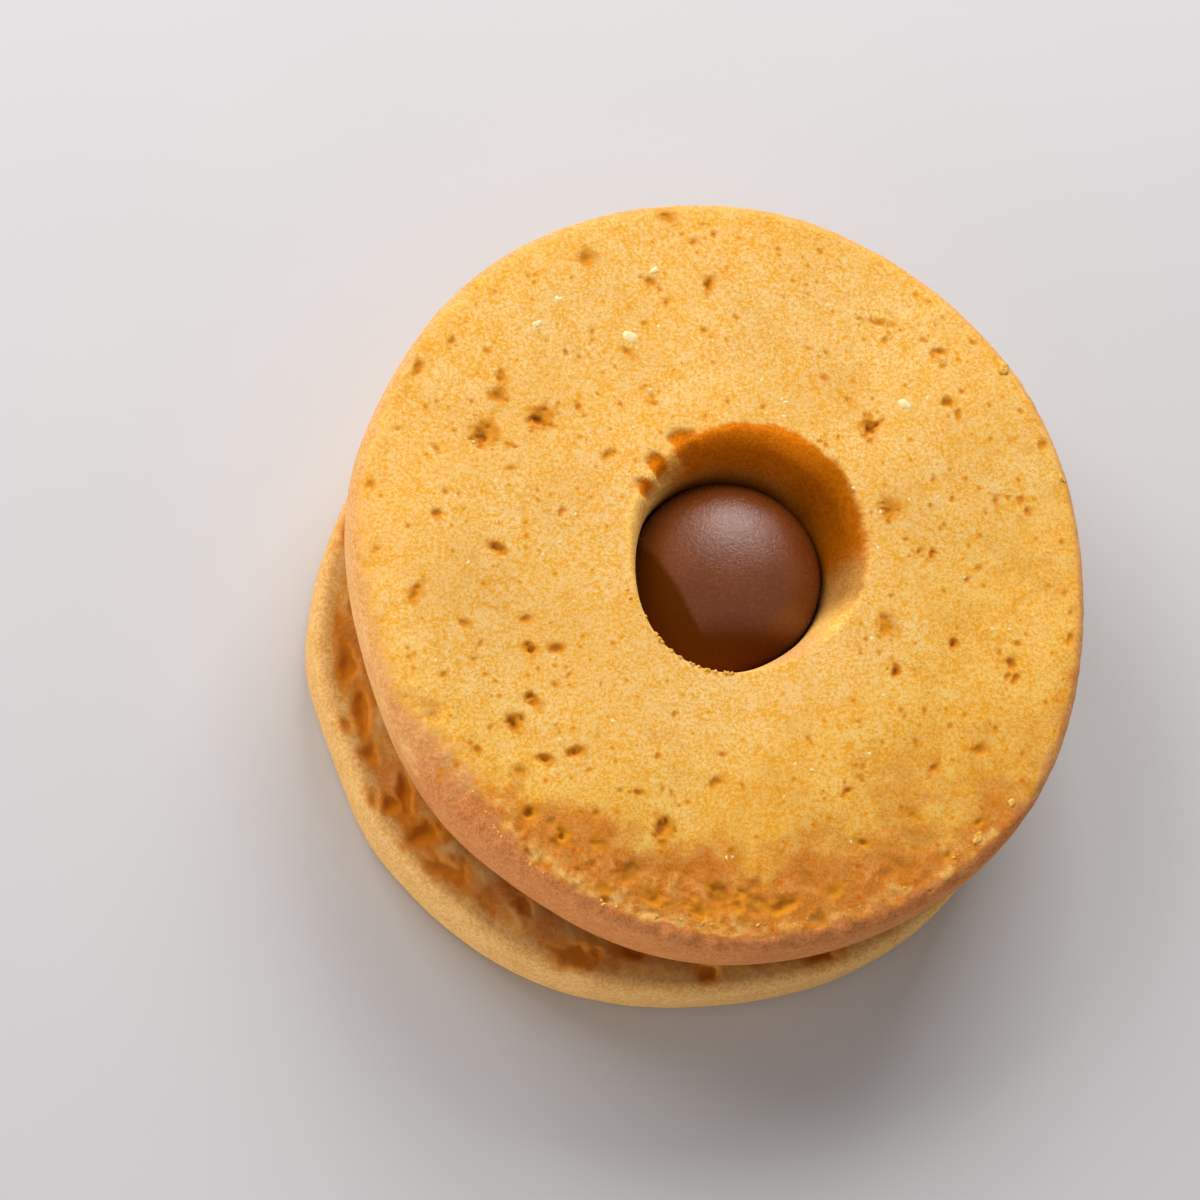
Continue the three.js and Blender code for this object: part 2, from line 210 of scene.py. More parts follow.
# Pits: distance and bearing from the biscuit's middle, width, depth, stretch, bearing of the long way
Pit = namedtuple("Pit", "distance bearing width depth stretch turn")
FACE_PITS = (
    (21.2, 151, 1.9, 1.1, 1.0, 0), (18.3, 140, 1.7, 1.1, 1.1, 20), (16.9, 44, 1.3, 1.1, 1.0, 0),
    (14.3, 20, 1.6, 0.6, 1.1, 60), (22.0, 142, 1.4, 0.5, 1.2, 60), (22.7, 139, 0.9, 0.6, 1.1, 60),
    (27.1, 112, 1.4, 0.5, 1.0, 0), (17.7, 177, 0.8, 0.8, 1.9, 160), (24.3, 187, 1.1, 0.5, 1.6, 65),
    (23.2, 91, 0.8, 0.7, 1.8, 80), (23.3, 37, 0.7, 0.6, 1.6, 0), (19.1, 342, 0.7, 0.9, 1.3, 80),
    (15.8, 328, 0.7, 0.8, 1.6, 80), (16.8, 205, 0.7, 0.9, 1.8, 135), (14.9, 208, 0.9, 0.6, 1.5, 170),
    (18.8, 217, 1.0, 0.7, 1.5, 145), (21.0, 218, 1.1, 1.0, 1.2, 100), (19.3, 232, 0.9, 0.8, 1.7, 10),
    (21.3, 228, 0.8, 0.9, 1.6, 160), (25.4, 232, 1.1, 0.9, 1.2, 150), (25.4, 239, 1.1, 0.9, 1.2, 120),
    (21.7, 256, 1.3, 0.8, 1.5, 80), (24.6, 324, 1.0, 0.5, 1.5, 30), (28.1, 314, 0.7, 0.5, 1.6, 30),
)
EDGE_DENTS = (
    (27.8, 249, 1.0, 0.4, 1.3, 160), (27.2, 257, 1.3, 0.5, 1.5, 150), (27.6, 265, 1.2, 0.5, 1.7, 155),
    (26.9, 271, 1.1, 0.4, 2.0, 80), (27.4, 278, 1.2, 0.4, 2.2, 10), (27.0, 287, 1.1, 0.4, 1.6, 20),
)
SMALL_PITS = (
    (29.2, 97, 1.1, 0.4, 1.3, 0), (22.7, 171, 0.8, 0.5, 1.2, 0), (23.8, 102, 0.9, 0.4, 1.4, 150),
    (25.9, 45, 0.6, 0.5, 2.0, 5), (24.6, 57, 0.6, 0.3, 4.0, 174), (23.9, 342, 0.6, 0.6, 1.7, 118),
    (13.7, 340, 1.7, 0.4, 1.2, 90), (24.6, 218, 0.7, 0.5, 1.2, 150), (23.3, 226, 1.1, 0.4, 1.3, 160),
    (24.5, 245, 1.2, 0.4, 1.2, 0), (17.3, 267, 0.8, 0.4, 1.8, 170), (19.7, 249, 0.6, 0.5, 1.6, 170),
    (24.4, 306, 1.0, 0.3, 1.3, 140), (20.2, 297, 0.5, 0.6, 2.0, 20), (24.3, 295, 0.6, 0.6, 2.0, 170),
    (16.8, 4, 0.5, 0.6, 2.0, 82), (28.4, 146, 0.8, 0.4, 1.4, 70), (18.8, 112, 0.6, 0.3, 2.2, 145),
    (25.6, 267, 0.9, 0.3, 1.4, 150),
)
BAND_DENTS = (
    (26.5, 175, 0.9, 0.5, 2.0, 80), (27.2, 186, 1.2, 0.7, 2.6, 85), (26.6, 194, 1.3, 0.8, 2.8, 100),
    (28.2, 196, 0.9, 0.5, 1.5, 110), (27.2, 202, 1.3, 0.7, 1.3, 120), (26.0, 210, 1.2, 0.8, 2.8, 100),
    (27.6, 211, 1.3, 0.8, 1.3, 0), (26.7, 218, 2.0, 0.8, 1.7, 20), (28.6, 209, 0.8, 0.5, 1.7, 110),
)

# Round the rest of the base's margin such dents lie in two staggered rows, between two bearings
ROW_BEARINGS = (228, 526)
ROW_COUNT = 29
ROW_RADII = (27.3, 25.8)
ROW_SCATTER = 0.3
ROW_WIDTHS = (1.1, 1.9)
ROW_DEPTH = 0.75
ROW_STRETCHES = (1.1, 2.2)
ROW_TURN = 40
ROW_SEED = 4711

# Bites out of the hole's ragged lip: bearing from the lip's middle, width
LIP_NICKS = ((150, 1.7), (138, 2.0), (122, 2.3))
NICK_DEPTH = 0.9
NICK_STRETCH = 1.6
NICK_INSET = 0.4

# Sugar pressed into the top: distance and bearing from the ring's middle, width
SUGAR_FLECKS = (
    (24.8, 101, 1.0), (24.9, 120, 0.7), (24.1, 126, 0.9), (19.8, 110, 1.2), (20.4, 42, 1.1),
)

# Larger crumbs that cling to an edge: biscuit, bearing from its middle, width
CLINGING_CRUMBS = (
    ("ring", 36, 1.1), ("ring", 16, 0.8), ("ring", 312, 1.0), ("ring", 320, 0.7), ("base", 195, 0.6),
)

# Small pores are strewn over the ring's top, at distances from the lip and from the wall. Their depths are
# shares of their widths.
PORE_INSETS = (2.5, 1.4)
PORE_WIDTHS = (0.3, 0.7)
PORE_DEPTHS = (0.3, 0.7)

# Small crumbs are strewn along the ring's edge and on the rim of its hole, at bearings in degrees, and on
# that rim by shares of its reach. Sugar grains are strewn over the top, at radii.
EDGE_CRUMB_BEARINGS = (222, 312)
RIM_CRUMB_BEARINGS = (200, 262)
RIM_CRUMB_SHARES = (0.5, 0.9)
CRUMB_WIDTHS = (0.2, 0.45)
SUGAR_RADII = (12, 25)
SUGAR_WIDTHS = (0.2, 0.4)

# How far crumbs and sugar sink into the crust, and how thick they are, as shares of their width
CRUMB_SINK = 0.1
CRUMB_FLAT = 0.6
RIM_CRUMB_FLAT = 0.7
SUGAR_SINK = 0.06
SUGAR_FLAT = 0.25

# Speckles of a colour: its dark and its pale grains, as factors of red, green and blue
DARK_GRAINS = (0.86, 0.77, 0.6)
PALE_GRAINS = (1.12, 1.2, 1.32)

# The photographed view: the lens on a square image, and where the middle of the ring's top stands in it
IMAGE_SIDE = 1200
FOCAL_PIXELS = 4269
RING_PIXEL = (723, 564.2)
SENSOR_WIDTH = 36
CAMERA_DISTANCE = 332
CAMERA_TILT = 19
CAMERA_BEARING = 241
CAMERA_ROLL = 29
CLIP_START = 0.01

# The floor, in metres: half its width, and how far it lies under the cookie
FLOOR_REACH = 3.0
FLOOR_DROP = 0.00002


def smooth_step(value, low, high):
    """Eased rise from 0 at low to 1 at high."""
    share = np.clip((value - low) / (high - low), 0.0, 1.0)
    return share * share * (3.0 - 2.0 * share)


def polar(points):
    """Radius, bearing and level of every point."""
    return np.hypot(points[:, 0], points[:, 1]), np.arctan2(points[:, 1], points[:, 0]), points[:, 2]


def swell(waves, bearing):
    """How far an uneven outline stands out at a bearing."""
    return sum(height * np.cos(count * (bearing - math.radians(crest))) for count, height, crest in waves)


def face_height(x, y):
    """Height of the ring's gently uneven top over its mean level."""
    total = np.zeros_like(x)
    for height, length, bearing in FACE_WAVES:
        along = x * math.cos(math.radians(bearing)) + y * math.sin(math.radians(bearing))
        total += height * np.sin(2.0 * math.pi * along / length)
    return total


def lumps(points, length, seed):
    """Smooth noise between about -1 and 1, with lumps one length apart, in a pattern of the seed's own."""
    shift = np.array([17.3, 5.1, 9.7]) * seed
    return np.array([noise.noise(place) for place in (points / length + shift).tolist()])


def layered(points, layers):
    """Lumps of several heights and lengths on top of each other."""
    return sum(height * lumps(points, length, seed) for height, length, seed in layers)


def near_bearing(bearing, middle, spread):
    """1 at a bearing in degrees, easing to 0 at a spread to either side."""
    away = np.abs((np.degrees(bearing) - middle + 180.0) % 360.0 - 180.0)
    return 0.5 + 0.5 * np.cos(np.pi * np.minimum(away / spread, 1.0))


def sided(bearing, side):
    """An amount that is full at the middle of one side and eases to nothing at its spread."""
    amount, middle, spread = side
    return amount * near_bearing(bearing, middle, spread)


def seeded_draw(seed):
    """Repeatable draws from a range, the same as the solids use."""
    state = seed

    def draw(low, high):
        nonlocal state
        state = state * 16807 % 2147483647
        return low + (high - low) * state / 2147483647

    return draw


def mostly_small(draw, widths, power):
    """A random width between two, the more often small the higher the power."""
    return widths[0] + (widths[1] - widths[0]) * draw.random() ** power


def stretch_points(start, end, spacing):
    """Points along a straight line, without its first."""
    start, end = np.array(start), np.array(end)
    count = max(1, round(np.linalg.norm(end - start) / spacing))
    return [tuple(start + (end - start) * (index + 1) / count) for index in range(count)]


def arc_points(centre, spread, first, last, spacing):
    """Points along an elliptic arc between two angles in degrees, without its first."""
    length = abs(math.radians(last - first)) * math.hypot(*spread) / math.sqrt(2.0)
    count = max(2, round(length / spacing))
    angles = [math.radians(first + (last - first) * (index + 1) / count) for index in range(count)]
    return [(centre[0] + spread[0] * math.cos(a), centre[1] + spread[1] * math.sin(a)) for a in angles]


def face_points(first, last, level, ring_radius, spacing):
    """Points across a baked face that falls towards its edge, without the first."""
    flat = stretch_points((first, 0.0), (last, 0.0), spacing)
    return [(radius, level - FACE_FALL * (radius / ring_radius) ** 4) for radius, _ in flat]


def spun(section, steps, closed):
    """A turned body: the section's points chained, spun through one wedge, and the wedge repeated."""
    shape = bmesh.new()
    corners = [shape.verts.new((radius, 0.0, level)) for radius, level in section]
    pairs = list(zip(corners, corners[1:]))
    if closed:
        pairs.append((corners[-1], corners[0]))
    chain = [shape.edges.new(pair) for pair in pairs]
    turning = {"cent": (0, 0, 0), "axis": (0, 0, 1), "dvec": (0, 0, 0)}
    wedge = 2.0 * math.pi / WEDGES
    bmesh.ops.spin(shape, geom=corners + chain, angle=wedge, steps=steps // WEDGES, **turning)
    first = shape.verts[:] + shape.edges[:] + shape.faces[:]
    rest = 2.0 * math.pi - wedge
    bmesh.ops.spin(shape, geom=first, angle=rest, steps=WEDGES - 1, use_duplicate=True, **turning)
    bmesh.ops.remove_doubles(shape, verts=shape.verts, dist=WELD)
    bmesh.ops.recalc_face_normals(shape, faces=shape.faces)
    return shape


def places_of(shape):
    return np.array([vert.co for vert in shape.verts])


def normals_of(shape):
    shape.normal_update()
    return np.array([vert.normal for vert in shape.verts])


def move_to(shape, places):
    for vert, place in zip(shape.verts, places.tolist()):
        vert.co = place


def write_shares(shape, **shares):
    """Keeps numbers per vertex, which the material reads as attributes of the same names."""
    for name, values in shares.items():
        layer = shape.verts.layers.float.get(name) or shape.verts.layers.float.new(name)
        for vert, value in zip(shape.verts, values.tolist()):
            vert[layer] = value


def read_share(shape, name):
    layer = shape.verts.layers.float[name]
    return np.array([vert[layer] for vert in shape.verts])


def refine(shape, near):
    """Splits the edges whose two ends both lie where finer relief is due."""
    shape.verts.index_update()
    edges = [e for e in shape.edges if near[e.verts[0].index] and near[e.verts[1].index]]
    bmesh.ops.subdivide_edges(shape, edges=edges, cuts=1, use_grid_fill=True)


def from_pit(places, pit):
    """How far every point lies from a pit's middle, along x and y."""
    angle = math.radians(pit.bearing)
    return places[:, 0] - pit.distance * math.cos(angle), places[:, 1] - pit.distance * math.sin(angle)


def pit_reach(places, pit):
    """Distance from a pit's middle, as a share of the way to its rim."""
    x, y = from_pit(places, pit)
    turn = math.radians(pit.turn)
    along = x * math.cos(turn) + y * math.sin(turn)
    across = y * math.cos(turn) - x * math.sin(turn)
    return np.hypot(along / pit.stretch, across) / (pit.width / 2.0)


def near_pits(places, pits, margin):
    """Which points lie within a margin of a pit."""
    near = np.zeros(len(places), bool)
    for pit in pits:
        near |= np.hypot(*from_pit(places, pit)) < pit.width * pit.stretch / 2.0 + margin
    return near


def sunk(places, pits, ragged, core, spread):
    """How deep the pits are under every point, and how far that lies in their colour.

    A pit is a soft bowl. A ragged core towards one side takes a share of its depth, and its colour reaches
    past its rim, by the spread as a factor. That colour is partly browning and partly painted shade,
    darkest in the core.
    """
    depth = np.zeros(len(places))
    share = np.zeros(len(places))
    lean = np.array([math.cos(math.radians(PIT_LEAN)), math.sin(math.radians(PIT_LEAN)), 0.0])
    core_tone = 0.9 * core
    for pit in pits:
        reach = pit_reach(places, pit) * (1.0 + ragged)
        bowl = np.clip(1.0 - reach**2, 0.0, 1.0) ** 1.5
        halo = np.clip(1.0 - (reach / spread) ** 2, 0.0, 1.0)
        moved = pit_reach(places - lean * (CORE_SHIFT * pit.width), pit)
        middle = np.clip(1.0 - (moved * (1.5 + 2.5 * ragged)) ** 2, 0.0, 1.0)
        depth = np.maximum(depth, pit.depth * ((1.0 - core) * bowl + core * middle))
        # A deep pit is painted darker than a shallow one, as painted shade
        tone = min(1.0, 0.4 + 0.6 * pit.depth)
        share = np.maximum(share, tone * ((1.0 - core_tone) * halo + core_tone * middle))
    return depth, share


def seeded_pores(sizes):
    """Small baking pores all over the ring's top, more of them small than large."""
    draw = random.Random(sizes.pore_seed)
    inner, outer = sizes.lip_radius / MM + PORE_INSETS[0], sizes.ring_radius / MM - PORE_INSETS[1]
    pores = []
    for _ in range(sizes.pore_count):
        distance = math.sqrt(draw.uniform(inner**2, outer**2))
        width = mostly_small(draw, PORE_WIDTHS, 2.5)
        bearing, turn = draw.uniform(0, 360), draw.uniform(0, 180)
        depth = width * draw.uniform(*PORE_DEPTHS)
        pores.append(Pit(distance, bearing, width, depth, draw.uniform(1, 2), turn))
    return pores


def row_dents():
    """The staggered rows of dents round the part of the base's margin that the listed ones leave."""
    draw = seeded_draw(ROW_SEED)
    dents = []
    for index in range(ROW_COUNT):
        place = index + draw(-ROW_SCATTER, ROW_SCATTER)
        bearing = ROW_BEARINGS[0] + (ROW_BEARINGS[1] - ROW_BEARINGS[0]) * place / (ROW_COUNT - 1)
        distance = ROW_RADII[index % len(ROW_RADII)] + draw(-ROW_SCATTER, ROW_SCATTER)
        turn = bearing + 90 + draw(-ROW_TURN, ROW_TURN)
        dents.append(Pit(distance, bearing, draw(*ROW_WIDTHS), ROW_DEPTH, draw(*ROW_STRETCHES), turn))
    return dents


def ring_section(sizes):
    """Section of the ring, from the foot of the bore up the hole, over the top and down the wall.

    Each stretch of it ends with the spacing of its points.
    """
    ring, lip, bore = sizes.ring_radius / MM, sizes.lip_radius / MM, sizes.bore_radius / MM
    edge = sizes.edge_round / MM
    rim, foot = ring - edge, ring - FOOT_ROUND
    edge_top = RING_TOP - FACE_FALL * (rim / ring) ** 4
    points = [(bore, RING_FOOT + BORE_ROUND)]
    points += stretch_points(points[-1], (bore, BORE_TOP), 0.4)
    points += arc_points((lip, BORE_TOP), (lip - bore, RING_TOP - BORE_TOP), 180, 90, 0.24)
    points += face_points(lip, rim, RING_TOP, ring, 0.25)
    points += arc_points((rim, edge_top - edge), (edge, edge), 90, 0, 0.17)
    points += stretch_points(points[-1], (ring + WALL_BULGE, (RING_FOOT + RING_TOP) / 2.0), 0.35)
    points += stretch_points(points[-1], (ring, RING_FOOT + FOOT_ROUND), 0.45)
    points += arc_points((foot, RING_FOOT + FOOT_ROUND), (FOOT_ROUND, FOOT_ROUND), 0, -90, 0.4)
    points += stretch_points(points[-1], (bore + BORE_ROUND, RING_FOOT), 3.0)
    return points


def ring_reach(radius, bearing, level, sizes):
    """How far a point of the ring stands from the hole's middle, and its share of the way outwards."""
    ring, lip = sizes.ring_radius / MM, sizes.lip_radius / MM
    share = np.clip((radius - lip) / (ring - lip), 0.0, 1.0)
    near = near_bearing(bearing, *RIM_REACH[1:])
    rim = RIM_REACH[0] * near**2
    steep = RIM_SLOPE * (RING_TOP - np.maximum(level, BORE_TOP))
    inside = lip + rim - ((lip - radius) * (1.0 - near) + steep * near)
    outline = swell(RING_WAVES, bearing) - sided(bearing, RING_FLAT)
    outside = radius + rim * (1.0 - share) + outline * share
    return np.where(radius < lip, inside, outside), share


def place_on_ring(points, sizes):
    """Uneven outline outside, leaning hole inside, gently wavy top with a soft shoulder."""
    radius, bearing, level = polar(points)
    reach, share = ring_reach(radius, bearing, level, sizes)
    lean = np.clip((level - BORE_TOP) / (RING_TOP - BORE_TOP), 0.0, 1.0)
    middle = (BORE_OFFSET + lean[:, None] * (LIP_OFFSET - BORE_OFFSET)) * (1.0 - share)[:, None]
    x = middle[:, 0] + reach * np.cos(bearing)
    y = middle[:, 1] + reach * np.sin(bearing)
    high = smooth_step(level, (RING_FOOT + RING_TOP) / 2.0, RING_TOP)
    ring = sizes.ring_radius / MM
    outer = smooth_step(radius, ring - SHOULDER_WIDTH, ring)
    fall = sided(bearing, SHOULDER) * outer
    return np.column_stack([x, y, level + high * (face_height(x, y) - fall)])


def ring_shape(sizes):
    """The ring biscuit with its pits, pores, crumpled lower edge and ragged lip."""
    shape = spun(ring_section(sizes), sizes.ring_steps, closed=True)
    mark_ring(shape, sizes)
    move_to(shape, place_on_ring(places_of(shape), sizes))
    pits = [Pit(*row) for row in FACE_PITS + EDGE_DENTS + SMALL_PITS] + seeded_pores(sizes)
    places = places_of(shape)
    radius, bearing, level = polar(places)
    crumpled = (near_bearing(bearing, *CRUMPLED) > 0.2) & (radius > FINE_RADIUS)
    fine = (near_pits(places, pits, FINE_ROUND) | crumpled) & (level > RING_TOP - FINE_DEPTH)
    refine(shape, fine)
    relief_on_ring(shape, pits, sizes)
    bmesh.ops.translate(shape, verts=shape.verts, vec=(*RING_CENTRE, 0.0))
    return shape


def mark_ring(shape, sizes):
    """Writes where the hole, its painted shade and the wall's skin lie, before the ring takes its outline.
    """
    points = places_of(shape)
    radius, bearing, level = polar(points)
    inward = sizes.lip_radius / MM - radius
    outside = inward < 0.0
    ragged = layered(points, SKIN_RAGGED)
    # On one lit side the wall's skin colour takes the place of the hole's, as painted shade
    pale = near_bearing(bearing, *SKIN_SHADE_SIDE)
    # The hole's colour begins just inside the lip, and out on the top at its high and its soft side, as
    # painted shade over the lip's rounding
    begins = 0.2 - 0.8 * near_bearing(bearing, *LIP_SHADOW_SIDE) - 0.5 * near_bearing(bearing, *SOFT_LIP_SHADE)
    fade = 0.3 + 0.3 * near_bearing(bearing, *BROWN_SHADE_SIDE)
    hole = smooth_step(inward + 0.7 * ragged, begins - fade, begins + fade) * (1.0 - pale)
    skin, verge = skin_shares(radius, bearing, level, ragged, sizes)
    inside_skin = pale * smooth_step(inward + 0.3 * ragged, -0.2, 0.6)
    # The painted shadow is strongest high up on the hole's far side, and turns to brown painted shade low
    # down, next to the dome
    baked = smooth_step(near_bearing(bearing, *HOLE_SHADOW_SIDE), 0.12, 0.5)
    upper = 0.7 + 0.3 * smooth_step(level, BORE_TOP + 0.5, RING_TOP - 2.0)
    low = 0.8 * baked * (1.0 - smooth_step(level, BORE_TOP, BORE_TOP + 3.0))
    brown = np.maximum(smooth_step(near_bearing(bearing, *BROWN_SHADE_SIDE), 0.0, 0.7), low)
    write_shares(
        shape,
        hole=hole,
        skin=np.where(outside, skin, inside_skin),
        verge=outside * verge,
        deep=hole * upper * baked,
        brown=hole * brown,
        tan=smooth_step(near_bearing(bearing, *TAN_SHADE_SIDE), 0.0, 0.6),
    )


def skin_rise(bearing):
    """How much further up and inwards the skin of the ring's wall reaches at a bearing."""
    return sum(sided(bearing, side) for side in SKIN_RISES)


def skin_shares(radius, bearing, level, ragged, sizes):
    """0 on the ring's crumbly top to 1 on the smooth skin of its wall, and 1 on the verge of that top."""
    rim = (sizes.ring_radius - sizes.edge_round) / MM
    uneven = ragged * (1.0 + 1.6 * near_bearing(bearing, *FLAKED))
    past = radius - rim + np.maximum(RING_TOP - FACE_FALL - level, 0.0) + uneven
    start = SKIN_START - skin_rise(bearing)
    soft = SKIN_SOFT + sum(sided(bearing, side) for side in SKIN_SOFTER)
    skin = smooth_step(past, start - soft, start + soft)
    return skin, smooth_step(past, start - soft - 1.2, start - soft + 0.1) * (1.0 - skin)


def relief_on_ring(shape, pits, sizes):
    """Raises the crumb and the broken edge, sinks pits and bites, and writes where their colours are.

    The colours of pits, bites and hollows are partly painted shade, and of crests partly painted light.
    """
    places, outward = places_of(shape), normals_of(shape)
    hole, skin = read_share(shape, "hole"), read_share(shape, "skin")
    radius, bearing, level = polar(places)
    top = np.clip(1.0 - hole - skin, 0.0, 1.0)
    in_margin, flaked = near_bearing(bearing, *CRUMPLED), near_bearing(bearing, *FLAKED)
    crumpled = in_margin * smooth_step(radius, *MARGIN_RADII) * (1.0 - hole)
    hollows = np.clip(layered(places, MARGIN_HOLLOWS) - 0.15, 0.0, 1.0)
    # The belt goes round the outer edge, and not round the lip
    edge = np.exp(-(((level - RING_TOP + EDGE_DROP) / EDGE_BELT) ** 2)) * (radius > 20)
    broken = 0.35 + 0.65 * near_bearing(bearing, *BROKEN) + 0.9 * flaked
    depth, pit = sunk(places, pits, layered(places, PIT_RAGGED), PIT_CORE, PIT_SPREAD)
    facing_up = smooth_step(outward[:, 2], *FACING_UP)
    nick = nick_share(places, sizes.lip_radius / MM)

    relief = top * layered(places, TOP_CRUMB) + (1.0 - top) * layered(places, WALL_SKIN)
    relief += top * crumpled * (layered(places, MARGIN_GRAINS) - HOLLOW_DEPTH * hollows)
    relief += edge * broken * layered(places, EDGE_FLAKES)
    relief -= NICK_RELIEF * NICK_DEPTH * nick * (level > RING_TOP - 2.0)
    height = relief - PIT_RELIEF * facing_up * depth
    move_to(shape, places + outward * height[:, None])

    # The bites take the hole's dark painted shadow, as painted shade under the broken lip
    bitten = np.minimum(1.7 * nick, 1.0) * smooth_step(level, RING_TOP - 1.6, RING_TOP - 0.5)
    # Crests are painted paler and hollows darker: partly crumbs and browning, partly painted light and
    # shade
    crest = np.clip(9.0 * relief - 0.3, 0.0, 1.0) * np.maximum(crumpled, edge)
    verge = read_share(shape, "verge") * np.clip(0.4 + 1.6 * lumps(places, 0.9, 24), 0.0, 1.0)
    verge *= np.maximum(in_margin, flaked)
    write_shares(
        shape,
        pit=pit * facing_up,
        hole=np.maximum(hole, bitten),
        deep=np.maximum(read_share(shape, "deep"), bitten),
        hollow=np.clip(-5.0 * relief, 0.0, 1.0) * top,
        crest=np.maximum(crest, verge) * top,
        toast=toast_and_shade_share(places, radius, bearing),
    )


def toast_and_shade_share(places, radius, bearing):
    """How far baking has browned the ring's top, in patches; on the wall the same share paints shade."""
    amount, first, last = TOASTED_EDGE
    toasted = amount * smooth_step(radius, first, last)
    for *side, first, last in TOASTED_AND_SHADED_SIDES:
        toasted += sided(bearing, side) * smooth_step(radius, first, last)
    return np.clip(toasted * (1.0 + layered(places, TOAST_PATCHES)), 0.0, 1.0)


def nick_share(places, lip):
    """0 to 1 into the bites out of the lip."""
    share = np.zeros(len(places))
    ragged = layered(places, NICK_RAGGED)
    for bearing, width in LIP_NICKS:
        outward = np.array([math.cos(math.radians(bearing)), math.sin(math.radians(bearing))])
        away = places[:, :2] - (LIP_OFFSET + (lip - NICK_INSET) * outward)
        along, across = away @ outward, away @ np.array([-outward[1], outward[0]])
        reach = np.hypot(along / NICK_STRETCH, across) / (width / 2.0) * (1.0 + ragged)
        share = np.maximum(share, np.clip(1.0 - reach**2, 0.0, 1.0) ** 1.1)
    return share


def base_section(sizes):
    """Section of the base, from the middle of its top to the middle of its flat underside."""
    base, edge, ring = sizes.base_radius / MM, sizes.edge_round / MM, sizes.ring_radius / MM
    rim, foot, margin = base - edge, base - FOOT_ROUND, sizes.filling_radius / MM - 3.5
    edge_top = BASE_TOP - FACE_FALL * (rim / ring) ** 4
    points = [(0.0, BASE_TOP)]
    # The mesh is coarse under the filling
    points += face_points(0.0, margin, BASE_TOP, ring, 3.0)
    points += face_points(margin, rim, BASE_TOP, ring, 0.2)
    points += arc_points((rim, edge_top - edge), (edge, edge), 90, 0, 0.17)
    points += stretch_points(points[-1], (base + WALL_BULGE, BASE_TOP / 2.0), 0.3)
    points += stretch_points(points[-1], (base, FOOT_ROUND), 0.4)
    points += arc_points((foot, FOOT_ROUND), (FOOT_ROUND, FOOT_ROUND), 0, -90, 0.4)
    points += stretch_points(points[-1], (0.0, 0.0), 3.0)
    return points


def base_shape(sizes):
    """The plain biscuit with the dents that baking left round its upper margin."""
    shape = spun(base_section(sizes), sizes.base_steps, closed=False)
    radius, bearing, level = polar(places_of(shape))
    base = sizes.base_radius / MM
    skin = BASE_TOP_SKIN + (1.0 - BASE_TOP_SKIN) * smooth_step(radius, base - 2.2, base - 0.7)
    no_hole = np.zeros(len(radius))
    write_shares(shape, skin=skin, hole=no_hole, deep=no_hole, brown=no_hole, tan=no_hole)
    outline = swell(BASE_WAVES, bearing) - sided(bearing, BASE_FLAT)
    reach = radius + radius / base * outline
    move_to(shape, np.column_stack([reach * np.cos(bearing), reach * np.sin(bearing), level]))
    relief_on_base(shape, [Pit(*row) for row in BAND_DENTS] + row_dents())
    bmesh.ops.translate(shape, verts=shape.verts, vec=(*BASE_CENTRE, 0.0))
    return shape


def relief_on_base(shape, dents):
    """Raises the crumb and the ridges, sinks the dents and writes where their colours are."""
    places, outward = places_of(shape), normals_of(shape)
    radius, _, level = polar(places)
    crumbly = (1.0 - read_share(shape, "skin")) / (1.0 - BASE_TOP_SKIN)
    band = crumbly * smooth_step(radius, *BASE_MARGIN)
    standing = smooth_step(level, 0.0, 1.0)
    relief = standing * (layered(places, BASE_SKIN) + band * layered(places, BASE_RIDGES))
    depth, dent = sunk(places, dents, layered(places, DENT_RAGGED), DENT_CORE, DENT_SPREAD)
    facing_up = smooth_step(outward[:, 2], *FACING_UP)
    height = relief - DENT_RELIEF * facing_up * depth
    move_to(shape, places + outward * height[:, None])
    # Dents and low places are painted orange, hollows darker and ridges paler: partly browning, partly
    # painted light and shade
    low = np.clip(-9.0 * relief, 0.0, 1.0)
    write_shares(
        shape,
        pit=np.maximum(0.42 * dent * facing_up, 0.3 * low * band),
        hollow=np.clip(-4.0 * relief, 0.0, 1.0) * band,
        toast=band * np.clip(0.82 + 0.4 * lumps(places, 3.0, 16), 0.0, 1.0),
        crest=band * np.clip(10.0 * relief - 0.1, 0.0, 1.0),
    )


def filling_section(sizes):
    """Section of the filling, from the top of the dome over the spread layer to its underside."""
    dome, outer = sizes.dome_radius / MM, sizes.filling_radius / MM
    dome_top = RING_TOP - sizes.dome_drop / MM
    half = (RING_FOOT - BASE_TOP) / 2.0
    points = [(0.0, dome_top)]
    points += arc_points((0.0, DOME_WAIST), (dome, dome_top - DOME_WAIST), 90, 0, 0.14)
    points += stretch_points(points[-1], (dome, RING_FOOT), 0.4)
    points += stretch_points(points[-1], (outer - half, RING_FOOT), 2.0)
    points += arc_points((outer - half, BASE_TOP + half), (half, half), 90, -90, 0.25)
    points += stretch_points(points[-1], (0.0, BASE_TOP), 3.0)
    return points


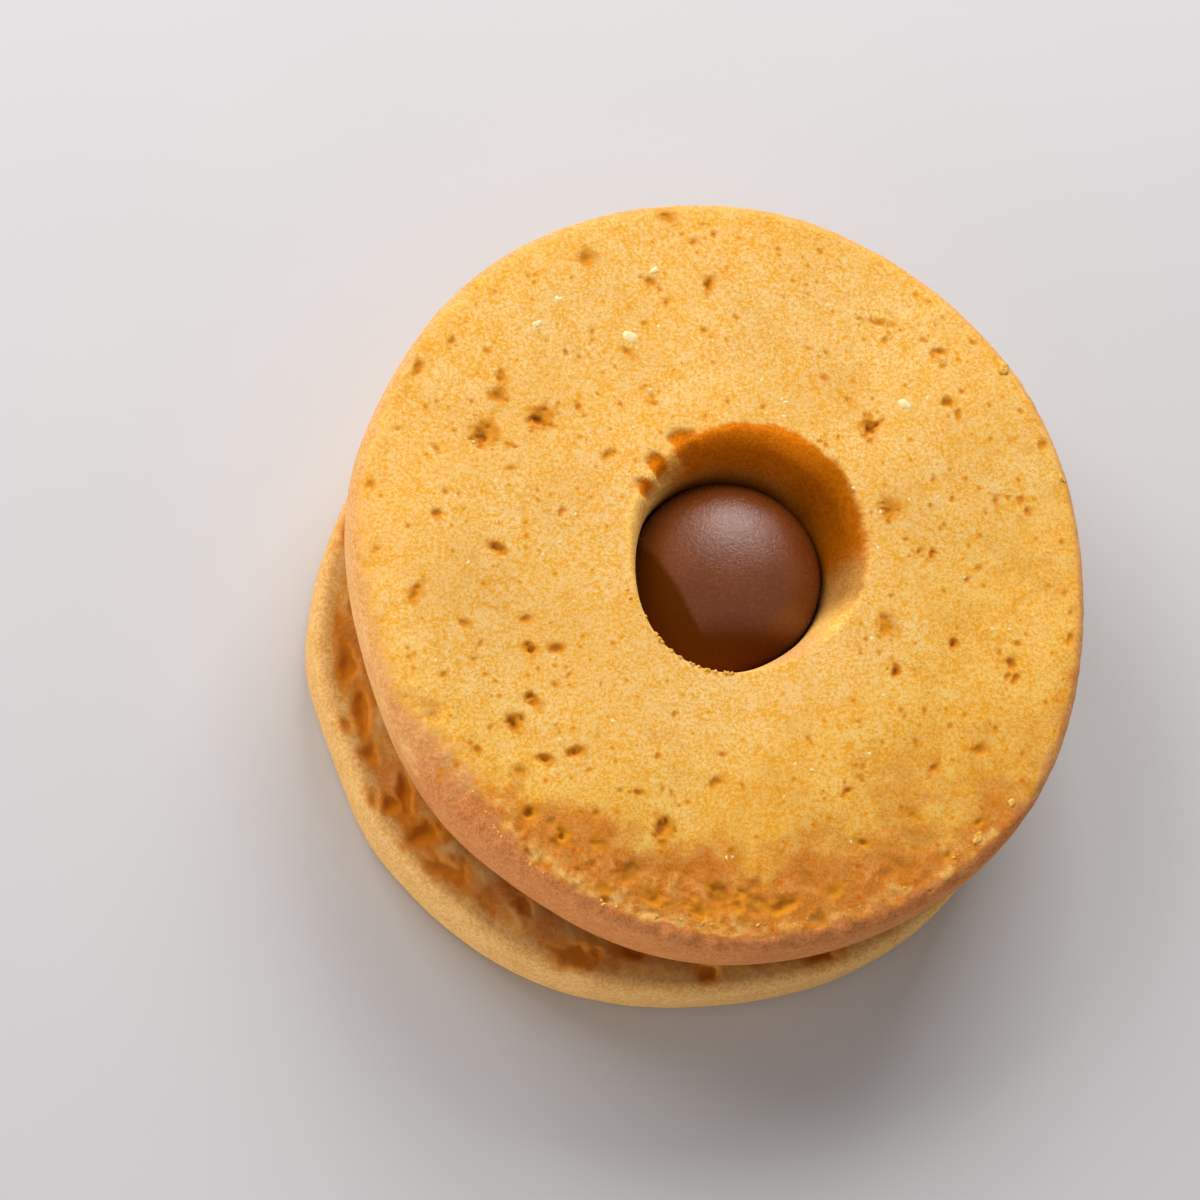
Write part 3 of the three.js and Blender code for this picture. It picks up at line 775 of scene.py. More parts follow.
def filling_shape(sizes):
    """The chocolate: a dome in the hole on a layer that spreads midway between the biscuits."""
    shape = spun(filling_section(sizes), sizes.filling_steps, closed=False)
    radius, bearing, level = polar(places_of(shape))
    dome, outer, bore = sizes.dome_radius / MM, sizes.filling_radius / MM, sizes.bore_radius / MM
    share = np.clip((radius - dome) / (outer - dome), 0.0, 1.0)
    layer_middle = (RING_CENTRE + BASE_CENTRE) / 2.0
    middle = np.outer(1.0 - share, RING_CENTRE + BORE_OFFSET) + np.outer(share, layer_middle)
    bore_reach, _ = ring_reach(np.full_like(radius, bore), bearing, np.full_like(radius, BORE_TOP), sizes)
    follow = np.minimum(radius / dome, 1.0) ** 4 * (1.0 - share)
    reach = radius + follow * (bore_reach - bore) + share * swell(FILLING_WAVES, bearing)
    x = middle[:, 0] + reach * np.cos(bearing)
    y = middle[:, 1] + reach * np.sin(bearing)
    move_to(shape, np.column_stack([x, y, level]))

    places, outward = places_of(shape), normals_of(shape)
    height = 0.02 * lumps(places, 3.0, 21) + (share > 0.5) * 0.14 * lumps(places, 2.5, 22)
    move_to(shape, places + outward * height[:, None])
    # Painted shade, darker and duller, on one side of the dome and towards negative y, and half of it on
    # the layer
    aim = math.radians(SHADE_BEARING)
    x, y = (places[:, :2] - middle).T
    off = x * math.cos(aim) + y * math.sin(aim) + 0.5 * lumps(places, 3.0, 23)
    bare = np.maximum(smooth_step(off, *SHADE_REACH), smooth_step(-y, *SHADE_FRONT))
    write_shares(shape, bare=np.where(share > 0.0, LAYER_SHADE, bare))
    return shape


def surface_of(piece):
    """A piece's finished mesh, to find places on it."""
    return BVHTree.FromObject(piece, bpy.context.evaluated_depsgraph_get())


def spot_at(middle, distance, bearing, level):
    """A spot in metres, from a distance and a bearing in degrees off a middle in millimetres."""
    angle = math.radians(bearing)
    x, y = middle[0] + distance * math.cos(angle), middle[1] + distance * math.sin(angle)
    return Vector((x, y, level)) * MM


def lump_at(shape, place, width, flat, outward, draw):
    """One small craggy grain, in metres, flattened along the surface that it sits on."""
    turn = outward.to_track_quat("Z", "Y") @ Quaternion((0, 0, 1), draw.uniform(0, 2.0 * math.pi))
    scale = Matrix.Diagonal((width / 2.0, width / 2.0 * draw.uniform(0.55, 1.0), width / 2.0 * flat, 1.0))
    made = bmesh.ops.create_icosphere(
        shape, subdivisions=2, radius=1.0,
        matrix=Matrix.Translation(place) @ turn.to_matrix().to_4x4() @ scale,
    )
    shift = Vector((draw.uniform(0, 50), draw.uniform(0, 50), draw.uniform(0, 50)))
    for vert in made["verts"]:
        away = vert.co - place
        vert.co += away * (0.75 * noise.noise(away * (2.6 / width) + shift) + draw.uniform(-0.06, 0.06))


def crumbs_shape(sizes, ring, base):
    """Crumbs broken out along the ring's edge and on the near rim of its hole, half sunk in the crust."""
    draw = random.Random(sizes.crumb_seed)
    shape = bmesh.new()
    surfaces = {"ring": surface_of(ring), "base": surface_of(base)}
    edges = {
        "ring": (RING_CENTRE, sizes.ring_radius / MM - 1.0, RING_TOP - 0.3),
        "base": (BASE_CENTRE, sizes.base_radius / MM, BASE_TOP - 1.2),
    }
    spots = list(CLINGING_CRUMBS)
    for _ in range(sizes.crumb_count):
        spots.append(("ring", draw.uniform(*EDGE_CRUMB_BEARINGS), mostly_small(draw, CRUMB_WIDTHS, 2)))
    for biscuit, bearing, width in spots:
        middle, radius, level = edges[biscuit]
        if biscuit == "ring":
            radius -= skin_rise(math.radians(bearing))
        seek = spot_at(middle, radius, bearing, level + draw.uniform(-0.2, 0.5))
        place, outward, _, _ = surfaces[biscuit].find_nearest(seek)
        lump_at(shape, place - outward * (CRUMB_SINK * width * MM), width * MM, CRUMB_FLAT, outward, draw)
    for _ in range(sizes.rim_crumb_count):
        bearing = draw.uniform(*RIM_CRUMB_BEARINGS)
        reach = sizes.lip_radius / MM + RIM_REACH[0] * draw.uniform(*RIM_CRUMB_SHARES)
        seek = spot_at(RING_CENTRE + LIP_OFFSET, reach, bearing, RING_TOP - 0.2)
        place, outward, _, _ = surfaces["ring"].find_nearest(seek)
        width = mostly_small(draw, CRUMB_WIDTHS, 2)
        lump_at(shape, place, width * MM, RIM_CRUMB_FLAT, outward, draw)
    bmesh.ops.recalc_face_normals(shape, faces=shape.faces)
    return shape


def sugar_shape(sizes, ring):
    """Pale flecks of sugar, melted nearly flush into the ring's top."""
    draw = random.Random(sizes.sugar_seed)
    shape = bmesh.new()
    surface = surface_of(ring)
    spots = list(SUGAR_FLECKS)
    for _ in range(sizes.sugar_count):
        spots.append((draw.uniform(*SUGAR_RADII), draw.uniform(0, 360), draw.uniform(*SUGAR_WIDTHS)))
    for distance, bearing, width in spots:
        seek = spot_at(RING_CENTRE, distance, bearing, RING_TOP + 0.1)
        place, outward, _, _ = surface.find_nearest(seek)
        lump_at(shape, place - outward * (SUGAR_SINK * width * MM), width * MM, SUGAR_FLAT, outward, draw)
    bmesh.ops.recalc_face_normals(shape, faces=shape.faces)
    return shape


def finished_piece(name, shape, material, in_millimetres=True):
    """Makes a smooth-shaded object at the origin from a shape, and frees the shape."""
    if in_millimetres:
        bmesh.ops.scale(shape, verts=shape.verts, vec=(MM, MM, MM))
    mesh = bpy.data.meshes.new(name)
    shape.to_mesh(mesh)
    shape.free()
    mesh.shade_smooth()
    mesh.materials.append(material)
    piece = bpy.data.objects.new(name, mesh)
    bpy.context.scene.collection.objects.link(piece)
    return piece


def feed(tree, node, inputs):
    """Gives a node's inputs their values, or links them to other nodes' sockets."""
    for socket, value in inputs.items():
        if isinstance(value, bpy.types.NodeSocket):
            tree.links.new(value, node.inputs[socket])
        else:
            node.inputs[socket].default_value = value


def put(tree, kind, inputs=None, **settings):
    """Adds one node: settings are its own fields, inputs are values or other nodes' sockets."""
    made = tree.nodes.new(kind)
    for field, value in settings.items():
        setattr(made, field, value)
    feed(tree, made, inputs or {})
    return made


def blended(tree, share, first, second, way="MIX"):
    """Colour that goes from first to second with share."""
    factor, a, b = 0, 6, 7
    inputs = {factor: share, a: first, b: second}
    return put(tree, "ShaderNodeMix", inputs, data_type="RGBA", blend_type=way).outputs[2]


def ranged(tree, value, low, high, to_low=0.0, to_high=1.0, way="SMOOTHSTEP"):
    """Maps a value from one range to another, clamped, and eased unless asked otherwise."""
    inputs = {"Value": value, "From Min": low, "From Max": high, "To Min": to_low, "To Max": to_high}
    return put(tree, "ShaderNodeMapRange", inputs, interpolation_type=way).outputs[0]


def sums(tree, way, first, second):
    """One step of arithmetic on two values."""
    return put(tree, "ShaderNodeMath", {0: first, 1: second}, operation=way).outputs[0]


def noise_value(tree, vector, size, detail=2.0, roughness=0.5):
    """Noise with features of about one size, given in metres."""
    inputs = {"Vector": vector, "Scale": 1.0 / size, "Detail": detail, "Roughness": roughness}
    return put(tree, "ShaderNodeTexNoise", inputs).outputs["Fac"]


def share_value(tree, name):
    """A number that the mesh keeps per vertex under a name."""
    return put(tree, "ShaderNodeAttribute", attribute_name=name).outputs["Fac"]


def bumped(tree, height, strength, distance):
    """A normal that follows a height, up to a distance in metres."""
    inputs = {"Height": height, "Strength": strength, "Distance": distance}
    return put(tree, "ShaderNodeBump", inputs).outputs["Normal"]


def opaque(colour):
    return (*colour, 1.0)


def pore_share(tree, vector):
    """1 in the middle of tiny ragged pores of uneven widths, strewn at random, to 0 well outside."""
    sway, spacing = 0.3 * MM, 1.1 * MM
    wobble = put(tree, "ShaderNodeTexNoise", {"Vector": vector, "Scale": 1.0 / sway, "Detail": 1.0})
    inputs = {0: wobble.outputs["Color"], 1: (sway, sway, sway), 2: vector}
    moved = put(tree, "ShaderNodeVectorMath", inputs, operation="MULTIPLY_ADD").outputs[0]
    cells = put(tree, "ShaderNodeTexVoronoi", {"Vector": moved, "Scale": 1.0 / spacing})
    chance = put(tree, "ShaderNodeSeparateColor", {0: cells.outputs["Color"]}).outputs[0]
    reach = ranged(tree, chance, 0.2, 1.0, 0.05, 0.21, way="LINEAR")
    return ranged(tree, sums(tree, "DIVIDE", cells.outputs["Distance"], reach), 1.8, 0.2, way="LINEAR")


def grain_group():
    """Baked crumb: a tint from amber to cream, specks, pores, slow mottling and a height for bump."""
    group = bpy.data.node_groups.new("Baked grain", "ShaderNodeTree")
    group.interface.new_socket("Vector", in_out="INPUT", socket_type="NodeSocketVector")
    for name in ("Tint", "Specks", "Pores", "Mottle", "Height"):
        group.interface.new_socket(name, in_out="OUTPUT", socket_type="NodeSocketFloat")
    vector = put(group, "NodeGroupInput").outputs["Vector"]
    crumb = noise_value(group, vector, 0.29 * MM, 3.0, 0.95)
    patches = noise_value(group, vector, 0.9 * MM, 3.0, 0.75)
    broad = noise_value(group, vector, 6.5 * MM, 2.0, 0.5)
    soft = noise_value(group, vector, 1.7 * MM, 2.0, 0.6)
    specks = ranged(group, patches, 0.55, 0.66)
    pores = pore_share(group, vector)
    tinted = put(group, "ShaderNodeMix", {0: 0.18, 2: crumb, 3: soft}).outputs[0]
    holes = ranged(group, pores, 0.4, 0.9, 0.0, 0.5)
    sunken = sums(group, "ADD", sums(group, "MULTIPLY", specks, 0.3), holes)
    outputs = {
        "Tint": ranged(group, tinted, 0.43, 0.57, way="LINEAR"),
        "Specks": specks,
        "Pores": pores,
        "Mottle": ranged(group, broad, 0.35, 0.65),
        "Height": sums(group, "SUBTRACT", crumb, sunken),
    }
    put(group, "NodeGroupOutput", outputs)
    return group


def surfaced(name):
    """A new material with a Principled shader on its output, and its object coordinates."""
    material = bpy.data.materials.new(name)
    material.use_nodes = True
    tree = material.node_tree
    tree.nodes.clear()
    shader = put(tree, "ShaderNodeBsdfPrincipled")
    put(tree, "ShaderNodeOutputMaterial", {"Surface": shader.outputs[0]})
    coordinates = put(tree, "ShaderNodeTexCoord").outputs["Object"]
    return material, tree, shader, coordinates


def crust_material(name, grain, colours, wall_colour, pit_colour, crest_colour):
    """Matte golden crumb on top, smoother tan skin on the walls, amber in pits and where toasted."""
    material, tree, shader, coordinates = surfaced(name)
    crumb = put(tree, "ShaderNodeGroup", {"Vector": coordinates}, node_tree=grain)
    tint, specks, pores, mottle = (crumb.outputs[key] for key in ("Tint", "Specks", "Pores", "Mottle"))
    skin, pit, toast = (share_value(tree, key) for key in ("skin", "pit", "toast"))
    hole, deep, brown, tan = (share_value(tree, key) for key in ("hole", "deep", "brown", "tan"))

    def part(share, amount):
        return sums(tree, "MULTIPLY", share, amount)

    def over(first, share, colour, way="MIX"):
        return blended(tree, share, first, opaque(colour), way)

    def speckled(colour):
        dark, pale = (np.multiply(colour, grains) for grains in (DARK_GRAINS, PALE_GRAINS))
        return blended(tree, tint, opaque(dark), opaque(pale))

    face = blended(tree, tint, opaque(colours.amber), opaque(colours.cream))
    face = over(face, part(mottle, 0.2), colours.amber)
    face = over(face, part(specks, 0.24), colours.toast)
    # Pores are painted amber and orange: partly their browning, partly painted shade in them
    face = over(face, ranged(tree, pores, 0.0, 0.55, 0.0, 0.7), colours.amber)
    face = over(face, ranged(tree, pores, 0.4, 0.9, 0.0, 0.9), colours.pore)
    face = over(face, ranged(tree, toast, 0.0, 0.5), colours.golden, "MULTIPLY")
    face = over(face, ranged(tree, toast, 0.3, 1.05), colours.browned, "MULTIPLY")
    # Hollows painted darker and crests paler: partly browning and crumbs, partly painted shade and light
    face = over(face, part(share_value(tree, "hollow"), 0.8), colours.hollow)
    face = blended(tree, part(share_value(tree, "crest"), 0.75), face, speckled(crest_colour))
    # The wall's lower side is darkened by the toast share: mostly painted shade, partly browning
    wall = over(speckled(wall_colour), ranged(tree, toast, 0.25, 1.0), colours.wall_shade_and_toast, "MULTIPLY")
    grainy = sums(tree, "ADD", skin, part(sums(tree, "SUBTRACT", tint, 0.5), 0.5))
    coloured = blended(tree, ranged(tree, grainy, 0.1, 0.9), face, wall)

    # The hole's sides take painted shade: a dark painted shadow on the far side, and brown and tan painted
    # shade on the sides that face the light
    inside = blended(tree, deep, speckled(colours.hole_wall), speckled(colours.hole_shadow))
    browner = blended(tree, tan, speckled(colours.hole_brown_shade), speckled(colours.hole_tan_shade))
    coloured = blended(tree, hole, coloured, blended(tree, brown, inside, browner))
    # Pits and dents are painted orange, darker in their cores: partly browning, partly painted shade
    coloured = over(coloured, ranged(tree, pit, 0.02, 0.4, 0.0, 0.94), pit_colour)
    coloured = over(coloured, ranged(tree, pit, 0.5, 0.95, 0.0, 0.85), colours.speck)

    strength = ranged(tree, sums(tree, "MAXIMUM", skin, hole), 0.0, 1.0, 1.0, 0.5)
    feed(tree, shader, {
        "Base Color": coloured,
        "Roughness": ranged(tree, tint, 0.0, 1.0, 0.9, 0.7),
        "Specular IOR Level": ranged(tree, deep, 0.0, 0.7, 0.2, 0.0),
        "Normal": bumped(tree, part(crumb.outputs["Height"], strength), 0.6, 0.06 * MM),
        "Subsurface Weight": 0.22,
        "Subsurface Radius": (1.0, 0.35, 0.08),
        "Subsurface Scale": 0.8 * MM,
    })
    return material


def chocolate_material(colours):
    """Milk chocolate with a soft hazy gloss, broken up by fine crystals, and painted shade on one side."""
    material, tree, shader, coordinates = surfaced("milk_chocolate")
    cloud = ranged(tree, noise_value(tree, coordinates, 4.0 * MM, 3.0), 0.3, 0.7)
    crystals = noise_value(tree, coordinates, 0.32 * MM, 3.0, 0.85)
    swirl = noise_value(tree, coordinates, 1.6 * MM, 2.0)
    bare = share_value(tree, "bare")
    bloom = sums(tree, "MULTIPLY", ranged(tree, crystals, 0.5, 0.75), 0.25)
    body = blended(tree, cloud, opaque(colours.chocolate), opaque(colours.chocolate_deep))
    body = blended(tree, bloom, body, opaque(colours.bloom))
    # Painted shade on one side of the dome, with less gloss there
    body = blended(tree, bare, body, opaque(colours.chocolate_bare))
    height = sums(tree, "ADD", sums(tree, "MULTIPLY", crystals, 1.2), sums(tree, "MULTIPLY", swirl, 0.4))
    feed(tree, shader, {
        "Base Color": body,
        "Roughness": ranged(tree, crystals, 0.3, 0.7, 0.2, 0.38),
        "Specular IOR Level": ranged(tree, bare, 0.0, 1.0, 0.62, 0.05),
        "Normal": bumped(tree, height, 0.35, 0.15 * MM),
    })
    return material


def crumb_material(grain, colours):
    """Broken crumb: brighter than the baked skin round it."""
    material, tree, shader, coordinates = surfaced("broken_crumb")
    crumb = put(tree, "ShaderNodeGroup", {"Vector": coordinates}, node_tree=grain)
    tint = crumb.outputs["Tint"]
    pale = blended(tree, tint, opaque(colours.amber), opaque(colours.crest))
    darker = sums(tree, "MULTIPLY", crumb.outputs["Specks"], 0.5)
    feed(tree, shader, {
        "Base Color": blended(tree, darker, pale, opaque(colours.speck)),
        "Roughness": ranged(tree, tint, 0.0, 1.0, 0.95, 0.8),
        "Specular IOR Level": 0.15,
        "Normal": bumped(tree, crumb.outputs["Height"], 0.7, 0.2 * MM),
    })
    return material


def sugar_material(colours):
    """Pale sugar, duller and creamier where it melted into the crust."""
    material, tree, shader, coordinates = surfaced("sugar")
    cloud = ranged(tree, noise_value(tree, coordinates, 0.5 * MM, 2.0), 0.35, 0.65)
    feed(tree, shader, {
        "Base Color": blended(tree, cloud, opaque(colours.sugar), opaque(colours.cream)),
        "Roughness": ranged(tree, cloud, 0.0, 1.0, 0.35, 0.6),
    })
    return material


def floor_material(colours):
    """Plain pale card with the faintest mottling."""
    material, tree, shader, coordinates = surfaced("pale_card")
    cloud = noise_value(tree, coordinates, 20.0 * MM, 3.0)
    shade = tuple(0.97 * channel for channel in colours.floor)
    feed(tree, shader, {
        "Base Color": blended(tree, cloud, opaque(colours.floor), opaque(shade)),
        "Roughness": ranged(tree, cloud, 0.0, 1.0, 0.8, 0.9),
    })
    return material


def shared_grain():
    """The one group of baked crumb, made when the first material asks for it."""
    return bpy.data.node_groups.get("Baked grain") or grain_group()


def colour_property(name, description, default):
    return FloatVectorProperty(
        name=name, description=description, default=default, subtype="COLOR", size=3, min=0.0, max=1.0
    )


def length_property(name, description, default):
    return FloatProperty(
        name=name, description=description, default=default, min=0.0, subtype="DISTANCE", unit="LENGTH"
    )


def count_property(name, description, default):
    return IntProperty(name=name, description=description, default=default, min=0)


def power_property(name, description, default):
    return FloatProperty(name=name, description=description, default=default, min=0.0, unit="POWER")


def angle_property(name, description, degrees):
    return FloatProperty(name=name, description=description, default=math.radians(degrees), subtype="ANGLE")


class COOKIE_PG_sizes(bpy.types.PropertyGroup):
    """Sizes of the biscuits, the filling and what is scattered on them."""

    ring_radius: length_property("Ring radius", "Half the mean width of the upper biscuit", 0.030)
    base_radius: length_property("Base radius", "Half the mean width of the lower biscuit", 0.0294)
    edge_round: length_property("Edge rounding", "Rounding between a biscuit's top and its wall", 0.0011)
    lip_radius: length_property("Lip radius", "Radius of the hole at the ring's top", 0.0097)
    bore_radius: length_property("Bore radius", "Radius of the hole at the ring's foot", 0.0078)
    dome_radius: length_property("Dome radius", "Radius of the chocolate dome", 0.00765)
    dome_drop: length_property("Dome drop", "How far the dome's top lies under the ring's top", 0.0013)
    filling_radius: length_property("Filling radius", "Radius of the chocolate layer", 0.0245)
    ring_steps: count_property("Ring steps", "Steps of the ring's mesh round its middle", 544)
    base_steps: count_property("Base steps", "Steps of the base's mesh round its middle", 600)
    filling_steps: count_property("Filling steps", "Steps of the chocolate's mesh round its middle", 240)
    pore_count: count_property("Pores", "Small baking pores in the ring's top", 170)
    pore_seed: count_property("Pore seed", "Seed of the pores' places", 31)
    crumb_count: count_property("Edge crumbs", "Small crumbs along the ring's edge", 30)
    rim_crumb_count: count_property("Rim crumbs", "Tiny crumbs on the near rim of the hole", 24)
    crumb_seed: count_property("Crumb seed", "Seed of the crumbs' places", 32)
    sugar_count: count_property("Sugar grains", "Small sugar grains in the ring's top", 60)
    sugar_seed: count_property("Sugar seed", "Seed of the sugar's places", 33)


class COOKIE_PG_colours(bpy.types.PropertyGroup):
    """Colours of the crust, the chocolate and the floor."""

    cream: colour_property("Cream", "Pale sugary grains", (0.885, 0.618, 0.25))
    amber: colour_property("Amber", "Gaps between the grains", (0.82, 0.37, 0.016))
    toast: colour_property("Toast", "Orange patches and hollows of the crumb", (0.66, 0.26, 0.012))
    golden: colour_property("Golden", "Tint of the lightly baked side", (0.99, 0.94, 0.6))
    browned: colour_property("Browned", "Tint of the browned margin", (0.74, 0.47, 0.33))
    # Mostly painted shade on the wall's lower side, partly browning
    wall_shade_and_toast: colour_property("Shaded wall", "Tint of the wall's painted shade and browning", (0.79, 0.57, 0.48))
    # The speck, pore, pit and dent colours are partly browning and partly painted shade in those hollows
    speck: colour_property("Speck", "Dark specks and the bottoms of pits", (0.36, 0.095, 0.003))
    pore: colour_property("Pore", "Tiny pores of the crumb", (0.66, 0.23, 0.008))
    # Bright crumbs; on ridges this colour is also partly painted light
    crest: colour_property("Crest", "Bright crumbs that stand up in the browned margin", (0.95, 0.6, 0.18))
    pit: colour_property("Pit", "Walls of the pits", (0.66, 0.24, 0.008))
    dent: colour_property("Dent", "Dents of the base's margin", (0.62, 0.185, 0.005))
    hole_wall: colour_property("Hole wall", "Inside of the ring's hole", (0.96, 0.54, 0.13))
    # The hole's shadow, brown and tan colours are painted shadow and painted shade on its sides
    hole_shadow: colour_property("Hole shadow", "Painted shadow on the hole's far side", (0.73, 0.195, 0.005))
    hole_brown_shade: colour_property("Brown shade", "Side of the hole that faces the light", (0.42, 0.108, 0.002))
    hole_tan_shade: colour_property("Tan shade", "Painted tan shade next to that", (0.46, 0.205, 0.043))
    # Partly browning, partly painted shade in the hollows
    hollow: colour_property("Hollow", "Hollows of the crumpled margins", (0.55, 0.19, 0.008))
    ring_wall: colour_property("Ring wall", "Smooth skin of the ring's wall", (0.72, 0.36, 0.12))
    base_wall: colour_property("Base wall", "Smooth skin of the base's wall", (0.71, 0.392, 0.125))
    chocolate: colour_property("Milk chocolate", "Main colour of the chocolate", (0.185, 0.045, 0.007))
    chocolate_deep: colour_property("Deep chocolate", "Darker clouds in it", (0.155, 0.036, 0.005))
    # Painted shade on one side of the dome
    chocolate_bare: colour_property("Shaded chocolate", "Painted shade on one side", (0.102, 0.025, 0.0004))
    bloom: colour_property("Bloom", "Pale crystals on the chocolate", (0.28, 0.13, 0.065))
    sugar: colour_property("Sugar", "Pale sugar flecks", (0.95, 0.72, 0.38))
    floor: colour_property("Floor", "Pale floor", (0.62, 0.61, 0.62))


class COOKIE_PG_light(bpy.types.PropertyGroup):
    """Studio light. A slant is an angle from the view, and a turn goes round from the top of the view."""

    key_power: power_property("Key", "Power of the main soft light", 2.05)
    key_size: length_property("Key size", "Side of the main soft light", 0.30)
    key_distance: length_property("Key distance", "From the cookie to the lights", 0.5)
    key_slant: angle_property("Key slant", "Angle between the view and the main light", 72)
    key_turn: angle_property("Key turn", "How far the main light stands to the right of the top", 16)
    fill_power: power_property("Fill", "Power of the light from the upper left", 1.5)
    fill_slant: angle_property("Fill slant", "Angle between the view and the fill light", 62)
    fill_turn: angle_property("Fill turn", "How far the fill light stands round from the top", -32)
    side_power: power_property("Side", "Power of the low light from the left", 1.1)
    side_slant: angle_property("Side slant", "Angle between the view and the side light", 73)
    side_turn: angle_property("Side turn", "How far the side light stands round from the top", -108)
    low_power: power_property("Low", "Power of the low light from below the view", 0.42)
    low_slant: angle_property("Low slant", "Angle between the view and the light from below", 72)
    low_turn: angle_property("Low turn", "How far the light from below stands round from the top", 180)
    sky_strength: FloatProperty(name="Sky", description="Strength of the even light all round", default=0.3)


class COOKIE_OT_ring(bpy.types.Operator):
    """Bakes the ring biscuit with its pits, pores and crumpled edge"""

    bl_idname = "cookie.bake_ring"
    bl_label = "Bake ring biscuit"

    def execute(self, context):
        colours = context.scene.cookie_colours
        material = crust_material("ring_crust", shared_grain(), colours, colours.ring_wall, colours.pit,
                                  colours.crest)
        ring = finished_piece("ring_crust", ring_shape(context.scene.cookie_sizes), material)
        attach(ring, BODY)
        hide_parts("ring_biscuit")
        return {"FINISHED"}


class COOKIE_OT_base(bpy.types.Operator):
    """Bakes the plain lower biscuit with its dented margin"""

    bl_idname = "cookie.bake_base"
    bl_label = "Bake base biscuit"

    def execute(self, context):
        colours = context.scene.cookie_colours
        material = crust_material("base_crust", shared_grain(), colours, colours.base_wall, colours.dent,
                                  colours.cream)
        base = finished_piece("base_crust", base_shape(context.scene.cookie_sizes), material)
        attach(base, BODY)
        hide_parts("base_biscuit")
        return {"FINISHED"}


class COOKIE_OT_filling(bpy.types.Operator):
    """Pours the chocolate that fills the hole and joins the biscuits"""

    bl_idname = "cookie.pour_chocolate"
    bl_label = "Pour chocolate"

    def execute(self, context):
        material = chocolate_material(context.scene.cookie_colours)
        filling = finished_piece("milk_chocolate", filling_shape(context.scene.cookie_sizes), material)
        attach(filling, BODY)
        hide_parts("chocolate_filling")
        return {"FINISHED"}


class COOKIE_OT_crumbs(bpy.types.Operator):
    """Scatters the crumbs that cling to the biscuits' edges"""

    bl_idname = "cookie.scatter_crumbs"
    bl_label = "Scatter crumbs"

    def execute(self, context):
        objects = context.scene.objects
        shape = crumbs_shape(context.scene.cookie_sizes, objects["ring_crust"], objects["base_crust"])
        material = crumb_material(shared_grain(), context.scene.cookie_colours)
        crumbs = finished_piece("edge_crumbs", shape, material, in_millimetres=False)
        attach(crumbs, BODY)
        return {"FINISHED"}


class COOKIE_OT_sugar(bpy.types.Operator):
    """Presses pale sugar into the ring's top"""

    bl_idname = "cookie.press_sugar"
    bl_label = "Press sugar"

    def execute(self, context):
        shape = sugar_shape(context.scene.cookie_sizes, context.scene.objects["ring_crust"])
        sugar = finished_piece("sugar_flecks", shape, sugar_material(context.scene.cookie_colours), False)
        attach(sugar, BODY)
        return {"FINISHED"}


def camera_turn():
    """Turn of a camera that looks down on the cookie at the photographed tilt."""
    tilt, bearing = math.radians(CAMERA_TILT), math.radians(CAMERA_BEARING)
    back = Vector((math.sin(tilt) * math.cos(bearing), math.sin(tilt) * math.sin(bearing), math.cos(tilt)))
    return back.to_track_quat("Z", "Y") @ Quaternion((0, 0, 1), math.radians(CAMERA_ROLL))


def camera_place(turn):
    """Where the camera stands to see the middle of the ring's top at its place in the image."""
    half = IMAGE_SIDE / 2.0
    across = (RING_PIXEL[0] - half) / FOCAL_PIXELS
    up = (half - RING_PIXEL[1]) / FOCAL_PIXELS
    target = Vector((*RING_CENTRE, RING_TOP))
    return (target - turn @ Vector((across, up, -1.0)) * CAMERA_DISTANCE) * MM


def soft_light(name, turn, slant, around, distance, size, power):
    """A soft light aimed at the cookie, placed by its slant from the view and its turn in the image."""
    across, along = math.sin(slant), math.cos(slant)
    toward = turn @ Vector((across * math.sin(around), across * math.cos(around), along))
    lamp = bpy.data.lights.new(name, "AREA")
    lamp.shape = "RECTANGLE"
    lamp.size, lamp.size_y = size
    lamp.energy = power
    light = bpy.data.objects.new(name, lamp)
    light.location = Vector((*RING_CENTRE, RING_TOP)) * MM + toward * distance
    light.rotation_mode = "QUATERNION"
    light.rotation_quaternion = toward.to_track_quat("Z", "Y")
    bpy.context.scene.collection.objects.link(light)
    return light


